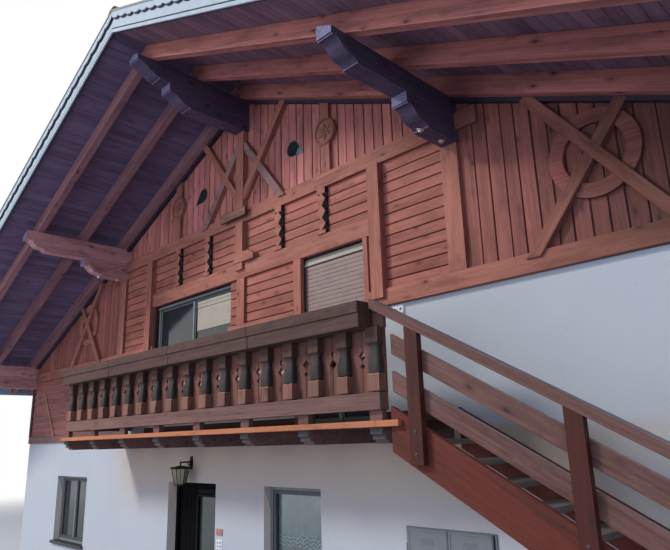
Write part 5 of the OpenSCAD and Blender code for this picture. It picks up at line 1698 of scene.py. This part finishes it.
def build_deck():
    """Deck planks, their fresh-stained edge board, and the dark skirting at the foot of the balcony wall."""
    lo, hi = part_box("balcony_deck")
    rng = random.Random(3)
    shape = Shape()
    y0, y1 = FRONT - 0.94, FRONT + 0.06
    count = 7
    step = (y1 - y0) / count
    for i in range(count):
        a, b = y0 + i * step, y0 + (i + 1) * step - (0.006 if i < count - 1 else 0)
        cuts = (lo.x, lo.x + (STAIR_X - lo.x) * rng.uniform(0.25, 0.75), STAIR_X)
        for p, q in zip(cuts, cuts[1:]):
            ring = [(p + 0.001, a), (q - 0.001, a), (q - 0.001, b), (p + 0.001, b)]
            shape.loft([[(x, y, z) for x, y in ring] for z in (lo.z, hi.z)])
    joint = 3.245
    for p, q in ((lo.x, joint), (joint + 0.003, hi.x)):
        shape.block(p, q, lo.z, hi.z, -0.99, -0.9405, 0.0, 1)
    shape.build("deck_planks", ["deck boards x", "deck edge x"], "deck_edge", replaced=("balcony_deck",),
                edge=0.004)
    skirting = Shape()
    for p, q in ((-2.583, BAY_DOOR[0] - 0.002), (BAY_DOOR[1] + 0.002, STAIR_X)):
        skirting.block(p, q, DECK_Z + 0.0005, SKIRTING_TOP, 0.046, BOARD_FAR, 0.003)
    skirting.build("balcony_skirting", ["box timber x"], "weathered_timber")


# Balusters: distance between two, place of the first, number, width, and heights of the blocks
BALUSTER_PITCH = 0.367
BALUSTER_END = 3.235
BALUSTER_COUNT = 18
BALUSTER_W = 0.134
BALUSTER_FOOT, BALUSTER_CAP = 0.157, 0.140
# Shares of the height and the width of a baluster, from the foot block up: belly, neck, flare under the cap
VASE = ((0.0, 0.90), (0.06, 0.93), (0.14, 0.97), (0.24, 0.99), (0.34, 0.98), (0.44, 0.94), (0.54, 0.88),
        (0.64, 0.81), (0.73, 0.75), (0.80, 0.72), (0.86, 0.72), (0.91, 0.75), (0.95, 0.81), (0.98, 0.88),
        (1.0, 0.93))


def build_balusters():
    """Carved balusters: square foot and cap blocks with chamfered edges, a paler chamfer along the top of
    each foot block, and swelling vases between them.
    """
    lo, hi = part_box("balustrade")
    near, far = lo.y, hi.y
    half = BALUSTER_W / 2
    worn = 0.010
    foot, neck, shoulder, top = lo.z + 0.009, lo.z + BALUSTER_FOOT, hi.z - BALUSTER_CAP, hi.z
    blocks, vases = Shape(), Shape()

    def square(x, z, drawn_in=0.0):
        x0, x1, y = x - half + drawn_in, x + half - drawn_in, near + drawn_in
        return [(x0, far, z), (x0, y, z), (x1, y, z), (x1, far, z)]

    def rounded(x, z, share, count=28):
        """A square with round corners, its back on the boards."""
        deep = (far - near) * share
        ring = []
        for j in range(count):
            a = math.tau * j / count
            u, v = (math.copysign(abs(c) ** 0.55, c) for c in (math.cos(a), math.sin(a)))
            ring.append((x + half * share * u, far - deep / 2 + deep / 2 * v, z))
        return ring

    for i in range(BALUSTER_COUNT):
        x = BALUSTER_END - i * BALUSTER_PITCH
        blocks.loft([square(x, foot, 0.005), square(x, foot + 0.005), square(x, neck - worn)], 0)
        blocks.loft([square(x, neck - worn + 0.0005), square(x, neck, worn)], 1)
        blocks.loft([square(x, shoulder, 0.007), square(x, shoulder + 0.007), square(x, top)], 2)
        vases.loft([rounded(x, neck - 0.002 + (shoulder - neck + 0.004) * t, share) for t, share in VASE])
    blocks.build("baluster_blocks", ["baluster block z", "baluster edge z", "baluster cap z"],
                 "weathered_timber", replaced=("balustrade",))
    made = vases.build("baluster_vases", ["baluster vase z"], "weathered_timber", replaced=("balustrade",))
    made.data.polygons.foreach_set("use_smooth", [len(face.vertices) == 4 for face in made.data.polygons])


def diamond_notches(x, side, up, z):
    """Edge of a board with half a keyhole cut in it: side -1 cuts into the board on the left of the joint."""
    edge = x + side * 0.002
    found = []
    for centre, half in ((z - up * 0.074, 0.027), (z + up * 0.019, 0.044)):
        reach = half - 0.002
        found.append([(edge, centre - reach), (x + side * half, centre), (edge, centre + reach)])
    return [p for notch in sorted(found, key=lambda points: points[1][1]) for p in notch]


def build_keyhole_boards():
    """Boards behind the balusters, with half a keyhole cut in each edge, and the return at the end."""
    lo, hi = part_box("balustrade_boards")
    z0, z1 = lo.z, hi.z
    keyhole_z = z0 + 0.307
    near, far = -0.90, -0.87
    joints = []
    for i in range(BALUSTER_COUNT - 1):
        joints.append((BALUSTER_END - (i + 0.5) * BALUSTER_PITCH, 1 if i % 2 == 0 else -1))
    shape = Shape()
    for i in range(BALUSTER_COUNT):
        right = joints[i - 1] if i else None
        left = joints[i] if i < len(joints) else None
        x0, x1 = left[0] + 0.002 if left else lo.x, right[0] - 0.002 if right else hi.x
        outline = [(x0, z0), (x1, z0)]
        if right:
            outline += diamond_notches(right[0], -1, right[1], keyhole_z)
        outline += [(x1, z1), (x0, z1)]
        if left:
            outline += reversed(diamond_notches(left[0], 1, left[1], keyhole_z))
        shape.prism(outline, near, far, 0.0025)
    steps = 5
    wide = (0.06 - far) / steps
    for i in range(steps):
        a, b = FRONT + far + i * wide + 0.0005, FRONT + far + (i + 1) * wide - 0.004
        shape.loft([[(x, a, z0), (x, b, z0), (x, b, z1), (x, a, z1)] for x in (lo.x, lo.x + 0.030)])
    shape.build("keyhole_boards", ["balustrade boards z"], "weathered_timber",
                replaced=("balustrade_boards",))


# Stage


CAMERA_PLACE = (6.71, -10.91, 2.57)
CAMERA_YAW = math.radians(45.13)
CAMERA_PITCH = math.radians(14.93)
CAMERA_ROLL = math.radians(-1.604)
CAMERA_LENS = 33.22


def build_camera():
    """Camera at the viewing angle of the photo, turned by its yaw and pitch and then rolled."""
    data = bpy.data.cameras.new("camera")
    data.lens = CAMERA_LENS
    data.sensor_width = 36
    data.clip_end = 500
    made = bpy.data.objects.new("camera", data)
    ahead = Vector((-math.sin(CAMERA_YAW) * math.cos(CAMERA_PITCH),
                    math.cos(CAMERA_YAW) * math.cos(CAMERA_PITCH), math.sin(CAMERA_PITCH)))
    level = Vector((math.cos(CAMERA_YAW), math.sin(CAMERA_YAW), 0))
    upright = level.cross(ahead)
    right = math.cos(CAMERA_ROLL) * level + math.sin(CAMERA_ROLL) * upright
    up = -math.sin(CAMERA_ROLL) * level + math.cos(CAMERA_ROLL) * upright
    rows = [(right[i], up[i], -ahead[i], CAMERA_PLACE[i]) for i in range(3)]
    made.matrix_world = Matrix((*rows, (0, 0, 0, 1)))
    bpy.context.scene.collection.objects.link(made)
    bpy.context.scene.camera = made


def area_light(name, place, aim, size, power, tint):
    data = bpy.data.lights.new(name, "AREA")
    data.shape = "DISK"
    data.size = size
    data.energy = power
    data.color = tint
    made = bpy.data.objects.new(name, data)
    made.location = place
    made.rotation_euler = (Vector(aim) - Vector(place)).to_track_quat("-Z", "Y").to_euler()
    bpy.context.scene.collection.objects.link(made)


def build_floor():
    """Pale floor that turns to plain white away from the house. The light it throws back is dim and blue."""
    g = Graph("stage floor")
    x, y, _ = g.parts(g.place())
    far = (x * x + y * y).step(300, 1100)
    near = g.node("ShaderNodeBsdfDiffuse", {}, {"Color": (0.74, 0.75, 0.77, 1)})
    white = g.node("ShaderNodeEmission", {}, {"Color": (1, 1, 1, 1), "Strength": 1.0})
    direct = g.node("ShaderNodeMixShader", {}, {0: far, 1: near.outputs[0], 2: white.outputs[0]})
    bounce = g.node("ShaderNodeBsdfDiffuse", {}, {"Color": (0.40, 0.47, 0.66, 1)})
    made = g.surface(g.node("ShaderNodeMixShader", {}, {
        0: g.seen(), 1: bounce.outputs[0], 2: direct.outputs[0]}))
    half, z = 90, -0.002
    mesh = bpy.data.meshes.new("floor")
    mesh.from_pydata([(u, v, z) for u, v in rectangle(-half, half, -half, half)], [], [(0, 1, 2, 3)])
    mesh.materials.append(made)
    floor = bpy.data.objects.new("floor", mesh)
    bpy.context.scene.collection.objects.link(floor)


def build_world():
    """Blue light of the open sky on the house, plain white where the sky itself is seen."""
    g = Graph("studio", world=True)
    light = g.node("ShaderNodeBackground", {}, {"Color": (0.66, 0.78, 1.0, 1), "Strength": 0.30})
    white = g.node("ShaderNodeBackground", {}, {"Color": (1, 1, 1, 1)})
    bpy.context.scene.world = g.surface(g.node("ShaderNodeMixShader", {}, {
        0: g.seen(), 1: light.outputs[0], 2: white.outputs[0]}))


def build_stage():
    """Floor, sky, and three soft lights: a high key and a low front light from the left, and a weak fill."""
    build_floor()
    build_world()
    area_light("key", (-15.4, -28, 21.4), (0, -6, 4), 6, 7000, (1.0, 0.97, 0.94))
    area_light("front", (-7, -30, 5), (0, -6, 4.5), 14, 1200, (1.0, 0.98, 0.98))
    area_light("fill", (13, -25, 4), (0, -6, 4.5), 12, 1100, (0.64, 0.77, 1.0))
    bpy.context.scene.view_settings.view_transform = "Standard"


# Operators


class CHALET_OT_dress(bpy.types.Operator):
    """Makes the finishes and gives them to the CAD nodes"""

    bl_idname = "chalet.dress"
    bl_label = "Finishes"

    def execute(self, context):
        make_finishes()
        dress_nodes()
        return {"FINISHED"}


class CHALET_OT_bay_boards(bpy.types.Operator):
    """Lays the horizontal boards between the posts"""

    bl_idname = "chalet.bay_boards"
    bl_label = "Bay boards"

    def execute(self, context):
        build_bay_boards()
        return {"FINISHED"}


class CHALET_OT_gable_boards(bpy.types.Operator):
    """Stands the upright boards of the gable"""

    bl_idname = "chalet.gable_boards"
    bl_label = "Gable boards"

    def execute(self, context):
        build_gable_boards()
        return {"FINISHED"}


class CHALET_OT_knee_boards(bpy.types.Operator):
    """Boards the knee wall beside the balcony"""

    bl_idname = "chalet.knee_boards"
    bl_label = "Knee wall boards"

    def execute(self, context):
        build_knee_boards()
        return {"FINISHED"}


class CHALET_OT_side_boards(bpy.types.Operator):
    """Boards the left side and the back gable"""

    bl_idname = "chalet.side_boards"
    bl_label = "Side and back boards"

    def execute(self, context):
        build_side_boards()
        return {"FINISHED"}


class CHALET_OT_roof_boards(bpy.types.Operator):
    """Lays the roof boards that show from below"""

    bl_idname = "chalet.roof_boards"
    bl_label = "Roof boards"

    def execute(self, context):
        build_roof_boards()
        return {"FINISHED"}


class CHALET_OT_tiles(bpy.types.Operator):
    """Lays the roof tiles"""

    bl_idname = "chalet.tiles"
    bl_label = "Roof tiles"

    def execute(self, context):
        build_tiles()
        return {"FINISHED"}


class CHALET_OT_ridge(bpy.types.Operator):
    """Lays the ridge tiles"""

    bl_idname = "chalet.ridge"
    bl_label = "Ridge tiles"

    def execute(self, context):
        build_ridge()
        return {"FINISHED"}


class CHALET_OT_verge(bpy.types.Operator):
    """Adds scallops, battens and flashing to the verges"""

    bl_idname = "chalet.verge"
    bl_label = "Verge trim"

    def execute(self, context):
        build_verge_boards()
        return {"FINISHED"}


class CHALET_OT_wheels(bpy.types.Operator):
    """Builds the ring boards and braces of the wings"""

    bl_idname = "chalet.wheels"
    bl_label = "Wheels"

    def execute(self, context):
        build_wheels()
        return {"FINISHED"}


class CHALET_OT_rosettes(bpy.types.Operator):
    """Carves the rosettes of the round boards"""

    bl_idname = "chalet.rosettes"
    bl_label = "Rosettes"

    def execute(self, context):
        build_rosettes()
        return {"FINISHED"}


class CHALET_OT_name_board(bpy.types.Operator):
    """Hangs the bare name board"""

    bl_idname = "chalet.name_board"
    bl_label = "Name board"

    def execute(self, context):
        build_name_board()
        return {"FINISHED"}


class CHALET_OT_ogee_board(bpy.types.Operator):
    """Adds the board with the ogee on the head beam"""

    bl_idname = "chalet.ogee_board"
    bl_label = "Ogee board"

    def execute(self, context):
        build_ogee_board()
        return {"FINISHED"}


class CHALET_OT_bolts(bpy.types.Operator):
    """Adds washers to the corbels and bolts to the stair posts"""

    bl_idname = "chalet.bolts"
    bl_label = "Bolts"

    def execute(self, context):
        build_bolts()
        return {"FINISHED"}


class CHALET_OT_sockets(bpy.types.Operator):
    """Adds the wall sockets and the tiles by the door"""

    bl_idname = "chalet.sockets"
    bl_label = "Sockets and tiles"

    def execute(self, context):
        build_sockets()
        build_door_tiles()
        return {"FINISHED"}


class CHALET_OT_lantern(bpy.types.Operator):
    """Builds the wall lantern"""

    bl_idname = "chalet.lantern"
    bl_label = "Lantern"

    def execute(self, context):
        build_lantern()
        return {"FINISHED"}


class CHALET_OT_windows(bpy.types.Operator):
    """Adds sashes, sills, shutters and the curtain"""

    bl_idname = "chalet.windows"
    bl_label = "Window details"

    def execute(self, context):
        build_windows()
        build_curtain()
        return {"FINISHED"}


class CHALET_OT_door(bpy.types.Operator):
    """Adds boards and lock plate to the front door"""

    bl_idname = "chalet.door"
    bl_label = "Door details"

    def execute(self, context):
        build_door_details()
        return {"FINISHED"}


class CHALET_OT_cabinet(bpy.types.Operator):
    """Adds rims, slots and locks to the cabinet"""

    bl_idname = "chalet.cabinet"
    bl_label = "Cabinet details"

    def execute(self, context):
        build_cabinet_details()
        return {"FINISHED"}


class CHALET_OT_deck(bpy.types.Operator):
    """Lays the planks, the edge board and the skirting of the balcony"""

    bl_idname = "chalet.deck"
    bl_label = "Deck planks"

    def execute(self, context):
        build_deck()
        return {"FINISHED"}


class CHALET_OT_balusters(bpy.types.Operator):
    """Carves the balusters of the balcony"""

    bl_idname = "chalet.balusters"
    bl_label = "Balusters"

    def execute(self, context):
        build_balusters()
        return {"FINISHED"}


class CHALET_OT_keyhole_boards(bpy.types.Operator):
    """Cuts the boards behind the balusters"""

    bl_idname = "chalet.keyhole_boards"
    bl_label = "Keyhole boards"

    def execute(self, context):
        build_keyhole_boards()
        return {"FINISHED"}


class CHALET_OT_stage(bpy.types.Operator):
    """Sets floor, lights and background"""

    bl_idname = "chalet.stage"
    bl_label = "Stage"

    def execute(self, context):
        build_stage()
        return {"FINISHED"}


class CHALET_OT_camera(bpy.types.Operator):
    """Sets the camera at the viewing angle of the photo"""

    bl_idname = "chalet.camera"
    bl_label = "Camera"

    def execute(self, context):
        build_camera()
        return {"FINISHED"}


OPERATORS = (
    CHALET_OT_dress,
    CHALET_OT_bay_boards,
    CHALET_OT_gable_boards,
    CHALET_OT_knee_boards,
    CHALET_OT_side_boards,
    CHALET_OT_roof_boards,
    CHALET_OT_tiles,
    CHALET_OT_ridge,
    CHALET_OT_verge,
    CHALET_OT_wheels,
    CHALET_OT_rosettes,
    CHALET_OT_name_board,
    CHALET_OT_ogee_board,
    CHALET_OT_bolts,
    CHALET_OT_sockets,
    CHALET_OT_lantern,
    CHALET_OT_windows,
    CHALET_OT_door,
    CHALET_OT_cabinet,
    CHALET_OT_deck,
    CHALET_OT_balusters,
    CHALET_OT_keyhole_boards,
    CHALET_OT_stage,
    CHALET_OT_camera,
)


class CHALET_PT_panel(bpy.types.Panel):
    """Lists the steps that build the looks of the chalet."""

    bl_label = "Alpine chalet"
    bl_idname = "CHALET_PT_panel"
    bl_space_type = "VIEW_3D"
    bl_region_type = "UI"
    bl_category = "Chalet"

    def draw(self, context):
        for group in (context.scene.chalet_sizes, context.scene.chalet_colours):
            for key in group.bl_rna.properties.keys():
                if key not in ("rna_type", "name"):
                    self.layout.prop(group, key)
        for made in OPERATORS:
            self.layout.operator(made.bl_idname)


CLASSES = (ChaletColours, ChaletSizes, *OPERATORS, CHALET_PT_panel)


def register():
    for made in CLASSES:
        bpy.utils.register_class(made)
    bpy.types.Scene.chalet_sizes = bpy.props.PointerProperty(type=ChaletSizes)
    bpy.types.Scene.chalet_colours = bpy.props.PointerProperty(type=ChaletColours)


def unregister():
    del bpy.types.Scene.chalet_colours
    del bpy.types.Scene.chalet_sizes
    for made in reversed(CLASSES):
        bpy.utils.unregister_class(made)


def main():
    register()
    for made in OPERATORS:
        getattr(bpy.ops.chalet, made.bl_idname.split(".")[1])()


if __name__ == "__main__":
    main()
